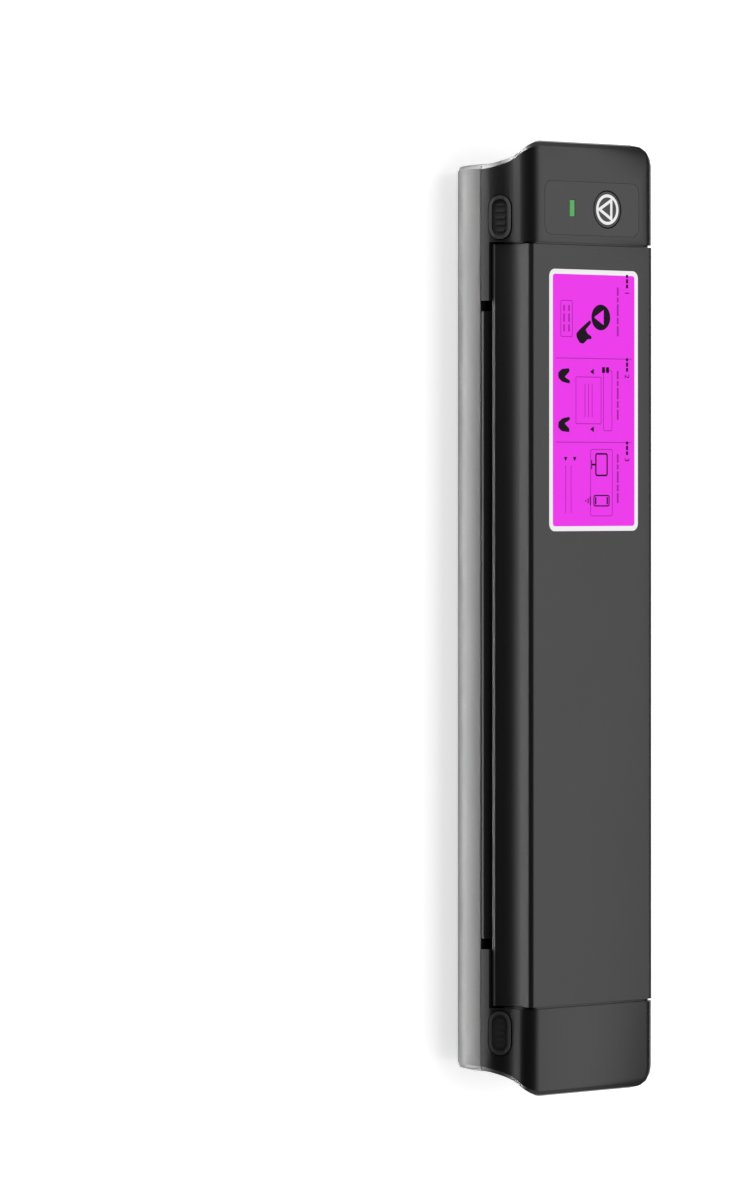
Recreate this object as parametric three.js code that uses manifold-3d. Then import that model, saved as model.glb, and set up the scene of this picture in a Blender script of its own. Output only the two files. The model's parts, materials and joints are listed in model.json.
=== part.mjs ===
// Portable thermal stencil copier, a bar that copies a design from a phone on to stencil paper.
// Millimetres. X runs along the bar, and the power button is at the minus X end.
// Minus Y is the front with the paper inlet, and the feet stand on Z 0.
import * as THREE from "three";
import { mergeVertices } from "three/addons/utils/BufferGeometryUtils.js";
import Module from "manifold-3d";

// Paper, and the room along the bar for what is longer than it
const paperWidth = 210;
const slotSpare = 1;
const guideNotch = 3.5;
const platenSpare = 3;
const headSpare = 0.5;
const frameRoom = 4.7;
const drivetrainRoom = 11.8;
const buttonEnd = 32.8;
const plainEnd = 28.2;

// Stack from the floor up to the cover, and from the nose to the rear wall
const frameStand = 3.6;
const springRoom = 11.8;
const paperGap = 0.3;
const glazeRise = 0.1;
const carrierGap = 1;
const platenSetback = 19;
const frameReach = 20.2;
const batteryFrontGap = 1.4;
const batteryRearGap = 4.6;

// Walls and gaps of the whole bar
const wall = 2;
const footProud = 0.8;
const clearance = 0.3;
const seatGap = 0.1;
const runningGap = 0.12;
const overrun = 6;
const mergeStep = 1e-4;

// Cross-section of the end sections: round-over, hollow, bulge, flat and bull nose
const frontTopRadius = 4.8;
const rearTopRadius = 5.3;
const rearFootRadius = 8;
const ledgeStep = 4.4;
const partingDrop = 1.2;
const noseFlat = 2.6;
const noseDepth = 15.1;
const partingGap = 0.3;

// Ends of the bar: they draw in below the top, and their edges are rounded
const endDrawIn = 7.2;
const endFootRadius = 6;
const edgeRadius = 1.5;
const frontCorner = 0.9;
const rearCorner = 6;

// Cover bay between the end sections
const seamGap = 0.8;
const seamLipGap = 0.2;
const seamLipDepth = 1;
const seamLipThickness = 1.6;
const bulkheadThickness = 2;
const bulkheadMotorGap = 0.7;

// Top cover
const coverFrontSetback = 0.9;
const coverRearSetback = 1.3;
const coverFrontEdge = 1.5;
const coverRearEdge = 2.8;
const coverFlare = 3.6;
const coverRimRise = 3.7;
const coverRimThickness = 1.3;
const coverRearDrop = 8.8;
const hingeInset = 4.6;
const hingeDrop = 4.6;
const hingePinRadius = 1.5;
const hingePinLength = 6.2;
const hingeBossRadius = 3.4;
const hingeBossLength = 2.4;

// Paper way
const slotHeight = 2.4;
const guideThickness = 1.2;
const outletHeight = 3.8;
const deckThickness = 1.6;
const deckRibHeight = 0.8;
const deckRibThickness = 1.2;
const deckRibPitch = 24;

// Instruction label and control panel
const sheetThickness = 0.3;
const labelLength = 85.3;
const labelWidth = 39.7;
const labelCorner = 2.4;
const labelFromSeam = 8.7;
const labelSide = 2.2;
const panelLength = 17.4;
const panelWidth = 42;
const panelCorner = 3;
const panelFromEnd = 21.6;
const panelSide = 1.4;
const buttonRadius = 6;
const buttonSide = 8.2;
const buttonThickness = 2.9;
const buttonFlange = 0.9;
const buttonFlangeThickness = 0.8;
const buttonTravel = 0.7;
const lightLength = 5.4;
const lightWidth = 2.2;
const lightSide = -7.5;
const lightDepth = 4.6;

// Button board with its switch
const boardThickness = 1.2;
const buttonBoardLength = 17;
const buttonBoardWidth = 26.6;
const buttonBoardSide = 3.3;
const switchSize = 6;
const switchHeight = 3.4;
const switchPlungerRadius = 1.7;
const switchPlungerHeight = 0.6;
const postRadius = 1.8;

// Push latches
const latchFromSeam = 8;
const latchLength = 14.2;
const latchWidth = 7.6;
const latchProud = 0.35;
const latchSink = 0.7;
const latchRim = 1.1;
const latchRibs = 5;
const latchRibPitch = 2.1;
const latchRibWidth = 0.8;
const latchRibHeight = 0.35;
const latchGap = 0.3;
const latchTravel = 1.2;
const latchFlange = 1;
const latchFlangeDepth = 3.4;
const latchFlangeThickness = 1.1;
const latchLegWidth = 5;
const latchLegThickness = 1.2;
const latchLegHeel = 2.2;
const leverSetback = 9;
const leverDrop = 2.6;
const leverShaftRadius = 2;
const leverHubRadius = 3.2;
const leverThickness = 1.5;
const leverFingerWidth = 5.4;
const leverFingerLength = 6;
const leverFingerThickness = 2;
const jawGap = 0.8;
const jawThickness = 2.6;
const latchSpringRadius = 3;
const latchSpringWire = 0.35;
const latchSpringTurns = 3;
const latchSpringWidth = 4.2;

// Platen
const platenRadius = 5;
const platenShaftRadius = 2.5;
const bushRadius = 4.5;
const carrierThickness = 2.4;
const carrierHingeGap = 4.4;
const carrierRibHeight = 3.8;
const carrierArmThickness = 2.4;
const carrierEyeWall = 1.7;

// Gear train: module, tooth counts and widths
const gearModule = 0.6;
const pressureAngle = (25 * Math.PI) / 180;
const addendumShare = 0.8;
const dedendumShare = 1.05;
const backlash = 0.12;
const platenTeeth = 22;
const idlerSmallTeeth = 20;
const idlerLargeTeeth = 28;
const pinionTeeth = 12;
const platenGearGap = 1.1;
const platenGearWidth = 3.2;
const wheelWidth = 1.8;
const wheelGap = 0.4;
const idlerPinRadius = 1.5;
const idlerHubRadius = 3.4;
const motorShaftRadius = 1;
const motorAngle = (-11 * Math.PI) / 180;

// Mechanism frame
const frameThickness = 1.2;
const frameFrontMargin = 0.5;
const cheekMargin = 3.5;
const cheekRise = 2.5;
const cheekDrop = 6;

// Print head
const headReach = 5.5;
const headPivotReach = 17;
const headPivotMargin = 2.4;
const sinkThickness = 4.4;
const finHeight = 3.2;
const finThickness = 2;
const fins = 3;
const heaterWidth = 12;
const heaterThickness = 1.2;
const driverCoverInset = 8.5;
const driverCoverThickness = 1;
const headPivotRadius = 1.25;
const headSpringRadius = 2.8;
const headSpringWire = 0.4;
const headSpringTurns = 5;
const headSpringInset = 26.5;

// Motor and its plate
const motorRadius = 10.5;
const motorLength = 15;
const motorBossRadius = 3.2;
const motorBossHeight = 1;
const motorPlateThickness = 1.2;
const motorPlateFrontMargin = 4;
const motorPlateRearMargin = 1.2;
const motorPlateTopMargin = 6;

// Battery, main board and socket
const cellRadius = 8.4;
const cellLength = 64;
const cellGap = 1;
const batteryBoardGap = 11.4;
const mainBoardStand = 6.2;
const mainBoardStart = 2.4;
const mainBoardRearGap = 5;
const mainBoardWidth = 35;
const mainBoardNarrowWidth = 16.4;
const mainBoardBossGap = 0.6;
const mainBoardLength = 100;
const mainBoardWideLength = 30;
const chipSize = 9;
const chipHeight = 1.4;
const socketWidth = 9;
const socketHeight = 3.2;
const socketLength = 7.4;
const socketWall = 0.35;
const socketY = 2;
const sensorSize = 5;
const sensorHeight = 2.6;
const sensorShift = 30;

// Feet, screws and bosses
const footRadius = 5;
const footRecess = 1;
const footInsetX = 30;
const footFrontInset = 23;
const footRearInset = 14;
const screwHeadRadius = 2.6;
const screwHeadHeight = 1.6;
const screwRadius = 1.2;
const screwLength = 24;
const screwInset = 15.2;
const screwFrontInset = 17;
const screwRearInset = 10.2;
const screwSink = 0.9;
const bossRadius = 3.2;
const frameScrewInset = 20.7;
const frameScrewReach = 10;

// How finely round shapes are cut
const fineSteps = 32;
const roundSteps = 20;
const smallSteps = 12;
const arcSteps = 4;
const wireSides = 4;
const stepsPerTurn = 8;

// Lengths worked out from those above
const slotLength = paperWidth + slotSpare;
const guideLength = slotLength - 2 * guideNotch;
const platenLength = paperWidth + 2 * platenSpare;
const headLength = platenLength + 2 * headSpare;
const driverCoverLength = headLength - 2 * driverCoverInset;
const headSpringPitch = headLength / 2 - headSpringInset;
const frameHalfLength = platenLength / 2 + frameRoom;
const frameScrewShift = frameHalfLength - frameScrewInset;
const bayHalf = frameHalfLength + drivetrainRoom;
const bayShift = (buttonEnd - plainEnd) / 2;
const length = 2 * bayHalf + buttonEnd + plainEnd;
const halfLength = length / 2;
const deckRibsPerSide = Math.floor(slotLength / 2 / deckRibPitch);
const deckRibShifts = Array.from(
  { length: 2 * deckRibsPerSide + 1 },
  (_, index) => bayShift + (index - deckRibsPerSide) * deckRibPitch,
);

// Heights worked out from the floor up
const casingFoot = footProud;
const floorTop = casingFoot + wall;
const frameFloor = floorTop + frameStand;
const sinkTop = frameFloor + frameThickness + springRoom + sinkThickness;
const platenZ = sinkTop + seatGap + heaterThickness + glazeRise + paperGap + platenRadius;
const height = platenZ + platenRadius + carrierGap + carrierThickness + seatGap + wall;
const partingHeight = sinkTop - partingDrop;
const coverRimHeight = partingHeight + coverRimRise;
const coverRearFoot = height - coverRearDrop;
const railHeight = coverRearFoot - seamGap;
const outletSill = coverRearFoot - outletHeight;
const guideRearHeight = sinkTop + heaterThickness - seatGap;
const leverZ = partingHeight - leverDrop;
const headPivotZ = sinkTop - headPivotMargin;
const frameTop = platenZ + cheekRise;
const frameShoulder = leverZ - cheekDrop;
const mainBoardHeight = floorTop + mainBoardStand;

// Places across the bar worked out from the nose to the rear wall
const width = platenSetback + frameReach + batteryFrontGap + 2 * cellRadius + batteryRearGap;
const noseY = -width / 2;
const rearY = width / 2;
const platenY = noseY + platenSetback;
const leverY = noseY + leverSetback;
const headFrontY = platenY - headReach;
const headPivotY = platenY + headPivotReach;
const headRearY = headPivotY + headPivotMargin;
const frameFloorFrontY = headFrontY - frameFrontMargin;
const frameFrontY = leverY - cheekMargin;
const frameRearY = platenY + frameReach;
const frameScrewY = platenY + frameScrewReach;
const batteryY = rearY - batteryRearGap - cellRadius;
const footFrontY = noseY + footFrontInset;
const footRearY = rearY - footRearInset;
const screwFrontY = noseY + screwFrontInset;
const screwRearY = rearY - screwRearInset;
const mainBoardRearY = rearY - mainBoardRearGap;
const mainBoardFrontY = mainBoardRearY - mainBoardWidth;
const mainBoardStepY = mainBoardRearY - mainBoardNarrowWidth;
const mainBoardInnerRearY = screwRearY - bossRadius - mainBoardBossGap;

// Section of the casing and the cover
const frontWallY = noseY + ledgeStep;
const hollowDrop = height - frontTopRadius - partingHeight;
const hollowAngle = 2 * Math.atan(ledgeStep / hollowDrop);
const hollowRadius = hollowDrop / 2 / Math.sin(hollowAngle);
const noseTop = partingHeight - noseFlat;
const coverHalf = bayHalf - seamGap;
const coverFrontY = frontWallY + coverFrontSetback;
const coverRearY = rearY - coverRearSetback;
const coverSkin = wall;
const hingeY = rearY - hingeInset;
const hingeZ = height - hingeDrop;
const carrierRearY = hingeY - carrierHingeGap;
const latchOffset = bayHalf + latchFromSeam;
const latchY = (frontWallY + noseY) / 2;
const latchZ = (height - frontTopRadius + partingHeight) / 2;
const latchTilt = Math.PI / 2 - hollowAngle;

// Gear centres: the idler lies along the platen's way out of mesh, the motor behind and below the idler
const platenToIdler = (gearModule * (platenTeeth + idlerSmallTeeth)) / 2;
const idlerToMotor = (gearModule * (idlerLargeTeeth + pinionTeeth)) / 2;
const liftAngle = Math.atan2(hingeZ - platenZ, hingeY - platenY);
const idlerAngle = liftAngle - Math.PI / 2;
const idlerY = platenY + platenToIdler * Math.cos(idlerAngle);
const idlerZ = platenZ + platenToIdler * Math.sin(idlerAngle);
const motorY = idlerY + idlerToMotor * Math.cos(motorAngle);
const motorZ = idlerZ + idlerToMotor * Math.sin(motorAngle);
const bulkheadFoot = motorZ + motorRadius + bulkheadMotorGap;

// Solids and their booleans
const wasm = await Module();
wasm.setup();

function manifoldOf(geometry, turned) {
  const order = new Uint32Array(geometry.index.array);
  if (turned) {
    order.reverse();
  }
  return new wasm.Manifold(
    new wasm.Mesh({
      numProp: 3,
      vertProperties: geometry.attributes.position.array,
      triVerts: order,
    }),
  );
}

function solid(geometry) {
  const bare = geometry.clone();
  bare.deleteAttribute("normal");
  bare.deleteAttribute("uv");
  const merged = mergeVertices(bare, mergeStep);
  const made = manifoldOf(merged, false);
  return made.volume() < 0 ? manifoldOf(merged, true) : made;
}

function joined(solids) {
  return solids.reduce((whole, next) => whole.add(next));
}

function without(whole, cuts) {
  return cuts.reduce((left, cut) => left.subtract(cut), whole);
}

function geometryOf(made) {
  const mesh = made.getMesh();
  const geometry = new THREE.BufferGeometry();
  geometry.setAttribute("position", new THREE.BufferAttribute(mesh.vertProperties, 3));
  geometry.setIndex(new THREE.BufferAttribute(mesh.triVerts, 1));
  geometry.computeVertexNormals();
  return geometry;
}

// Basic forms
function block(x, y, z) {
  const geometry = new THREE.BoxGeometry(x[1] - x[0], y[1] - y[0], z[1] - z[0]);
  geometry.translate((x[0] + x[1]) / 2, (y[0] + y[1]) / 2, (z[0] + z[1]) / 2);
  return solid(geometry);
}

function rodX(radius, x, y, z, steps = roundSteps) {
  const geometry = new THREE.CylinderGeometry(radius, radius, x[1] - x[0], steps);
  geometry.rotateZ(-Math.PI / 2);
  geometry.translate((x[0] + x[1]) / 2, y, z);
  return solid(geometry);
}

function rodZ(radius, x, y, z, steps = roundSteps) {
  const geometry = new THREE.CylinderGeometry(radius, radius, z[1] - z[0], steps);
  geometry.rotateX(Math.PI / 2);
  geometry.translate(x, y, (z[0] + z[1]) / 2);
  return solid(geometry);
}

// A section drawn in Y and Z, run along X
function runX(section, x, steps = arcSteps) {
  const options = { depth: x[1] - x[0], bevelEnabled: false, curveSegments: steps };
  const geometry = new THREE.ExtrudeGeometry(section, options);
  const alongX = new THREE.Matrix4().makeBasis(
    new THREE.Vector3(0, 1, 0),
    new THREE.Vector3(0, 0, 1),
    new THREE.Vector3(1, 0, 0),
  );
  geometry.applyMatrix4(alongX);
  geometry.translate(x[0], 0, 0);
  return solid(geometry);
}

// An outline drawn in X and Y, run up Z
function runZ(outline, z, steps = arcSteps) {
  const options = { depth: z[1] - z[0], bevelEnabled: false, curveSegments: steps };
  const geometry = new THREE.ExtrudeGeometry(outline, options);
  geometry.translate(0, 0, z[0]);
  return solid(geometry);
}

function polygon(points) {
  return new THREE.Shape(points.map(([across, up]) => new THREE.Vector2(across, up)));
}

function roundedRectangle(x, y, radius) {
  const shape = new THREE.Shape();
  shape.moveTo(x[0] + radius, y[0]);
  shape.lineTo(x[1] - radius, y[0]);
  shape.absarc(x[1] - radius, y[0] + radius, radius, -Math.PI / 2, 0);
  shape.lineTo(x[1], y[1] - radius);
  shape.absarc(x[1] - radius, y[1] - radius, radius, 0, Math.PI / 2);
  shape.lineTo(x[0] + radius, y[1]);
  shape.absarc(x[0] + radius, y[1] - radius, radius, Math.PI / 2, Math.PI);
  shape.lineTo(x[0], y[0] + radius);
  shape.absarc(x[0] + radius, y[0] + radius, radius, Math.PI, (3 * Math.PI) / 2);
  return shape;
}

// A profile of radius and height, turned about Z
function turned(profile, steps) {
  const points = profile.map(([radius, up]) => new THREE.Vector2(radius, up));
  const geometry = new THREE.LatheGeometry(points, steps);
  geometry.rotateX(Math.PI / 2);
  return solid(geometry);
}

// The span from one offset to another on one side of the cover's middle
function sideSpan(side, from, to) {
  const ends = [bayShift + side * from, bayShift + side * to];
  return ends.sort((low, high) => low - high);
}

// Outline of the casing's front, from the top down, as curves in Y and Z
function frontCurves() {
  const hollowZ = height - frontTopRadius;
  const top = new THREE.EllipseCurve(
    frontWallY + frontTopRadius,
    hollowZ,
    frontTopRadius,
    frontTopRadius,
    Math.PI / 2,
    Math.PI,
  );
  const hollow = new THREE.EllipseCurve(
    frontWallY - hollowRadius,
    hollowZ,
    hollowRadius,
    hollowRadius,
    0,
    -hollowAngle,
    true,
  );
  const bulge = new THREE.EllipseCurve(
    noseY + hollowRadius,
    partingHeight,
    hollowRadius,
    hollowRadius,
    Math.PI - hollowAngle,
    Math.PI,
  );
  const nose = new THREE.EllipseCurve(
    noseY + noseDepth,
    noseTop,
    noseDepth,
    noseTop - casingFoot,
    Math.PI,
    (3 * Math.PI) / 2,
  );
  return [top, hollow, bulge, nose];
}

function frontOutline(steps) {
  return frontCurves().flatMap((curve, index) => {
    const points = curve.getPoints(index === 3 ? steps + 3 : steps);
    return index === 1 || index === 2 ? points.slice(1) : points;
  });
}

function rearAt(z) {
  const topStart = height - rearTopRadius;
  const footEnd = casingFoot + rearFootRadius;
  if (z > topStart) {
    return rearY - rearTopRadius + Math.sqrt(rearTopRadius ** 2 - (z - topStart) ** 2);
  }
  if (z < footEnd) {
    return rearY - rearFootRadius + Math.sqrt(rearFootRadius ** 2 - (footEnd - z) ** 2);
  }
  return rearY;
}

// How far the bar's end draws in at a height
function endDrawInAt(z) {
  const share = Math.min(1, (height - z) / (height - partingHeight));
  const rise = Math.min(endFootRadius, z - casingFoot);
  const footIn = endFootRadius - Math.sqrt(endFootRadius ** 2 - (endFootRadius - rise) ** 2);
  return endDrawIn * Math.sin((Math.PI / 2) * share) + footIn;
}

function roundingAt(radius, fromEnd) {
  const left = Math.max(0, radius - fromEnd);
  return radius - Math.sqrt(radius ** 2 - left ** 2);
}

// Outward normals of an outline that runs down one side of the casing, facing the given way in Y
function outlineNormals(points, facing) {
  return points.map((point, index) => {
    if (index === 0) {
      return new THREE.Vector2(0, 1);
    }
    if (index === points.length - 1) {
      return new THREE.Vector2(0, -1);
    }
    const along = points[index + 1].clone().sub(points[index - 1]).normalize();
    return new THREE.Vector2(-along.y * facing, along.x * facing);
  });
}

// The casing's outer form, drawn in by a depth: sections along X, closed by a strip at each end
function casingForm(depth, steps, cornerSteps) {
  const front = frontOutline(steps);
  const rear = front.map((point) => new THREE.Vector2(rearAt(point.y), point.y));
  const frontNormals = outlineNormals(front, -1);
  const rearNormals = outlineNormals(rear, 1);
  const count = front.length;
  const fromEnds = Array.from(
    { length: cornerSteps + 1 },
    (_, step) => rearCorner * (1 - Math.cos((Math.PI / 2) * (step / cornerSteps))),
  );
  const stations = [
    ...fromEnds.map((fromEnd) => [-1, fromEnd]),
    ...fromEnds.map((fromEnd) => [1, fromEnd]).reverse(),
  ];
  const positions = [];
  const pointOf = (outline, normals, corner, facing, index, end, fromEnd) => {
    const inward = depth + roundingAt(edgeRadius, fromEnd);
    const across = facing * roundingAt(corner, fromEnd);
    const reach = halfLength - endDrawInAt(outline[index].y) - depth - fromEnd;
    positions.push(
      end * reach,
      outline[index].x - normals[index].x * inward - across,
      outline[index].y - normals[index].y * inward,
    );
  };
  stations.forEach(([end, fromEnd]) => {
    for (let index = 0; index < count; index += 1) {
      pointOf(front, frontNormals, frontCorner, -1, index, end, fromEnd);
    }
    for (let index = count - 1; index >= 0; index -= 1) {
      pointOf(rear, rearNormals, rearCorner, 1, index, end, fromEnd);
    }
  });
  const ring = 2 * count;
  const triangles = [];
  for (let station = 0; station < stations.length - 1; station += 1) {
    for (let index = 0; index < ring; index += 1) {
      const a = station * ring + index;
      const b = station * ring + ((index + 1) % ring);
      triangles.push(a, b, b + ring, a, b + ring, a + ring);
    }
  }
  const last = (stations.length - 1) * ring;
  for (let index = 0; index < count - 1; index += 1) {
    const rearIndex = ring - 1 - index;
    triangles.push(index, rearIndex, rearIndex - 1, index, rearIndex - 1, index + 1);
    triangles.push(last + index, last + rearIndex - 1, last + rearIndex);
    triangles.push(last + index, last + index + 1, last + rearIndex - 1);
  }
  const geometry = new THREE.BufferGeometry();
  geometry.setAttribute("position", new THREE.Float32BufferAttribute(positions, 3));
  geometry.setIndex(triangles);
  return solid(geometry);
}

const outerForm = casingForm(0, arcSteps, arcSteps);
const innerForm = casingForm(wall, arcSteps / 2, arcSteps / 2);

const farX = [-length, length];
const farY = [-width, width];

// Case screws and bosses stand at four corners
const screwPlaces = [-1, 1].flatMap((end) =>
  [screwFrontY, screwRearY].map((y) => ({ x: end * (halfLength - screwInset), y })),
);

// Racetrack of a latch, run along its press axis between two heights over the sloping front
function latchPrism(x, grow, low, high) {
  const halfX = latchLength / 2 + grow;
  const halfY = latchWidth / 2 + grow;
  const shape = roundedRectangle([-halfX, halfX], [-halfY, halfY], halfY - halfY / 100);
  const options = { depth: high - low, bevelEnabled: false, curveSegments: arcSteps };
  const geometry = new THREE.ExtrudeGeometry(shape, options);
  geometry.translate(0, 0, low);
  geometry.rotateX(latchTilt);
  geometry.translate(x, latchY, latchZ);
  return solid(geometry);
}

// A latch's flange, which stays clear of the bay's bulkhead
function latchFlangePrism(side, grow, low, high) {
  const whole = latchPrism(bayShift + side * latchOffset, latchFlange + grow, low, high);
  const start = latchOffset - latchLength / 2 - grow;
  return whole.intersect(block(sideSpan(side, start, start + length), farY, [0, height]));
}

// Lower casing
function leverSaddle(side) {
  const start = latchOffset + leverFingerWidth / 2 + clearance;
  const x = sideSpan(side, start, start + wall);
  const halfNotch = leverShaftRadius + runningGap;
  const top = leverZ + leverShaftRadius;
  const plate = block(x, [leverY - leverHubRadius, leverY + leverHubRadius], [casingFoot + wall / 2, top]);
  const notch = block(
    [x[0] - overrun, x[1] + overrun],
    [leverY - halfNotch, leverY + halfNotch],
    [leverZ, top + overrun],
  );
  const seat = rodX(halfNotch, [x[0] - overrun, x[1] + overrun], leverY, leverZ, smallSteps);
  return without(plate, [notch, seat]);
}

function batteryCradle(x) {
  const y = [batteryY - cellRadius, batteryY + cellRadius];
  const rib = block([x - wall / 2, x + wall / 2], y, [floorTop - wall / 2, floorTop + cellRadius / 2]);
  const seatZ = floorTop + cellRadius + clearance;
  const seat = rodX(cellRadius + seatGap, [x - wall, x + wall], batteryY, seatZ);
  return rib.subtract(seat);
}

function lowerCasing() {
  const top = partingHeight - partingGap / 2;
  const shell = outerForm.subtract(innerForm).intersect(block(farX, farY, [-overrun, top]));
  const bosses = screwPlaces.map(({ x, y }) =>
    rodZ(bossRadius, x, y, [floorTop - wall / 4, top], smallSteps),
  );
  const frameBosses = frameScrewPlaces().map(({ x, y }) =>
    rodZ(bossRadius, x, y, [casingFoot + wall / 2, frameFloor - seatGap], smallSteps),
  );
  const boardPosts = boardPostPlaces().map(({ x, y }) =>
    rodZ(postRadius, x, y, [casingFoot + wall / 2, mainBoardHeight - seatGap], smallSteps),
  );
  const cells = cellStarts();
  const cradles = [cells[0] + cellLength / 4, cells.at(-1) + (cellLength * 3) / 4];
  const saddles = [-1, 1].map(leverSaddle);
  const whole = joined([
    shell,
    ...bosses,
    ...frameBosses,
    ...boardPosts,
    ...cradles.map(batteryCradle),
    ...saddles,
  ]).intersect(outerForm);
  const headTop = casingFoot + screwSink + screwHeadHeight;
  const screwWays = screwPlaces.flatMap(({ x, y }) => [
    rodZ(screwHeadRadius + clearance, x, y, [-overrun, headTop], smallSteps),
    rodZ(screwRadius + clearance, x, y, [-overrun, height], smallSteps),
  ]);
  const frameScrewWays = frameScrewPlaces().map(({ x, y }) =>
    rodZ(screwRadius + runningGap, x, y, [floorTop, height], smallSteps),
  );
  const footWays = footPlaces().map(({ x, y }) =>
    rodZ(footRadius + clearance, x, y, [-overrun, casingFoot + footRecess], roundSteps),
  );
  const socketWay = block(
    [-length, -halfLength + endDrawIn + wall + seatGap],
    [socketY - socketWidth / 2 - clearance, socketY + socketWidth / 2 + clearance],
    [socketFoot() - clearance, socketFoot() + socketHeight + clearance],
  );
  return without(whole, [...screwWays, ...frameScrewWays, ...footWays, socketWay]);
}

function frameScrewPlaces() {
  return [-1, 1].map((side) => ({ x: bayShift + side * frameScrewShift, y: frameScrewY }));
}

function boardPostPlaces() {
  const start = mainBoardX()[0];
  return [
    { x: start + postRadius * 2, y: mainBoardFrontY + postRadius * 2 },
    { x: start + mainBoardLength - postRadius * 2, y: (mainBoardStepY + mainBoardRearY) / 2 },
  ];
}

function footPlaces() {
  return [-1, 1].flatMap((end) =>
    [footFrontY, footRearY].map((y) => ({ x: end * (halfLength - footInsetX), y })),
  );
}

function motorPlateX() {
  const start = bayShift + bayHalf - wheelGap;
  return [start, start + motorPlateThickness];
}

function mainBoardX() {
  const start = -halfLength + endDrawIn + mainBoardStart;
  return [start, start + mainBoardLength];
}

// As many cells in a row as fit between the main board and the motor plate
function cellStarts() {
  const first = mainBoardX()[1] + batteryBoardGap;
  const room = motorPlateX()[0] - clearance - first;
  return Array.from({ length: Math.floor(room / cellLength) }, (_, index) => first + index * cellLength);
}

function socketFoot() {
  return mainBoardHeight + boardThickness + seatGap;
}

// Upper casing
function bulkhead(side) {
  const plate = outerForm.intersect(
    block(sideSpan(side, bayHalf, bayHalf + bulkheadThickness), farY, [bulkheadFoot, height + overrun]),
  );
  const boss = rodX(
    hingeBossRadius,
    sideSpan(side, bayHalf + bulkheadThickness / 2, bayHalf + bulkheadThickness + hingeBossLength),
    hingeY,
    hingeZ,
    smallSteps,
  );
  return plate.add(boss);
}

// A lip that closes the seam at the cover's end from light, below the casing's surface
function seamLip(side) {
  const x = sideSpan(side, bayHalf - seamGap + seamLipGap, bayHalf + bulkheadThickness / 2);
  const ring = casingForm(seamLipDepth, arcSteps, 1).subtract(
    casingForm(seamLipDepth + seamLipThickness, arcSteps, 1),
  );
  return ring.intersect(block(x, farY, [railHeight - seamLipThickness, height]));
}

function upperCasing() {
  const foot = partingHeight + partingGap / 2;
  const shell = outerForm.subtract(innerForm).intersect(block(farX, farY, [foot, height + overrun]));
  const bayX = sideSpan(1, -bayHalf, bayHalf);
  const slotX = sideSpan(1, -slotLength / 2, slotLength / 2);
  const bayFront = block(bayX, [-width, 0], [coverRimHeight - clearance, height + overrun]);
  const bayRear = block(bayX, [0, width], [railHeight, height + overrun]);
  const bayFloor = block(bayX, [noseY + ledgeStep + wall, rearY - wall], [-overrun, height]);
  const inlet = block(slotX, [-width, 0], [-overrun, height]);
  const outlet = block(slotX, [0, width], [outletSill, height]);
  const opened = without(shell, [bayFront, bayRear, inlet, outlet]).subtract(bayFloor);
  const bosses = screwPlaces.map(({ x, y }) =>
    rodZ(bossRadius, x, y, [foot, height - wall / 2], smallSteps),
  );
  const posts = buttonBoardCorners().map(({ x, y }) =>
    rodZ(postRadius, x, y, [buttonBoardTop() + seatGap, height - wall / 2], smallSteps),
  );
  const ends = [-1, 1].flatMap((side) => [bulkhead(side), seamLip(side)]);
  const whole = joined([opened, ...ends, ...bosses, ...posts]);
  const pinWays = [-1, 1].map((side) =>
    rodX(
      hingePinRadius + runningGap,
      sideSpan(side, coverHalf - overrun, bayHalf + bulkheadThickness + hingeBossLength - wall / 2),
      hingeY,
      hingeZ,
      smallSteps,
    ),
  );
  const screwWays = screwPlaces.map(({ x, y }) =>
    rodZ(screwRadius + runningGap, x, y, [foot - overrun, screwTop() + clearance], smallSteps),
  );
  const latchFoot = -latchFlangeDepth - latchFlangeThickness - latchTravel - clearance;
  const latchWays = [-1, 1].flatMap((side) => {
    const x = bayShift + side * latchOffset;
    return [
      latchPrism(x, latchGap, latchFoot, overrun),
      latchFlangePrism(side, latchGap, latchFoot, -latchFlangeDepth + clearance),
    ];
  });
  const panelX = panelSpan();
  const panelY = [panelSide - panelWidth / 2, panelSide + panelWidth / 2];
  const panelRecess = runZ(
    roundedRectangle(
      [panelX[0] - seatGap, panelX[1] + seatGap],
      [panelY[0] - seatGap, panelY[1] + seatGap],
      panelCorner + seatGap,
    ),
    [height - sheetThickness - seatGap, height + overrun],
  );
  const through = [height - overrun, height + overrun];
  const buttonWay = rodZ(buttonRadius + clearance, panelMiddle(), buttonSide, through);
  const lightWay = lightBlock(clearance, through);
  return without(whole, [
    ...pinWays,
    ...screwWays,
    ...latchWays,
    panelRecess,
    buttonWay,
    lightWay,
  ]);
}

function panelMiddle() {
  return -halfLength + panelFromEnd;
}

function panelSpan() {
  return [panelMiddle() - panelLength / 2, panelMiddle() + panelLength / 2];
}

function lightBlock(grow, z) {
  return block(
    [panelMiddle() - lightLength / 2 - grow, panelMiddle() + lightLength / 2 + grow],
    [lightSide - lightWidth / 2 - grow, lightSide + lightWidth / 2 + grow],
    z,
  );
}

// Control panel, button, status light and their board
function controlPanel() {
  const y = [panelSide - panelWidth / 2, panelSide + panelWidth / 2];
  const sheet = runZ(roundedRectangle(panelSpan(), y, panelCorner), [height - sheetThickness, height]);
  const through = [height - overrun, height + overrun];
  const buttonWay = rodZ(buttonRadius + clearance, panelMiddle(), buttonSide, through);
  return without(sheet, [buttonWay, lightBlock(seatGap, through)]);
}

function powerButton() {
  const foot = height - buttonThickness;
  const cap = rodZ(buttonRadius, 0, 0, [foot, height]);
  const flange = rodZ(buttonRadius + buttonFlange, 0, 0, [foot - buttonFlangeThickness, foot]);
  return cap.add(flange);
}

function buttonBoardTop() {
  const buttonFoot = height - buttonThickness - buttonFlangeThickness;
  return buttonFoot - buttonTravel - clearance - switchHeight - seatGap;
}

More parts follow.
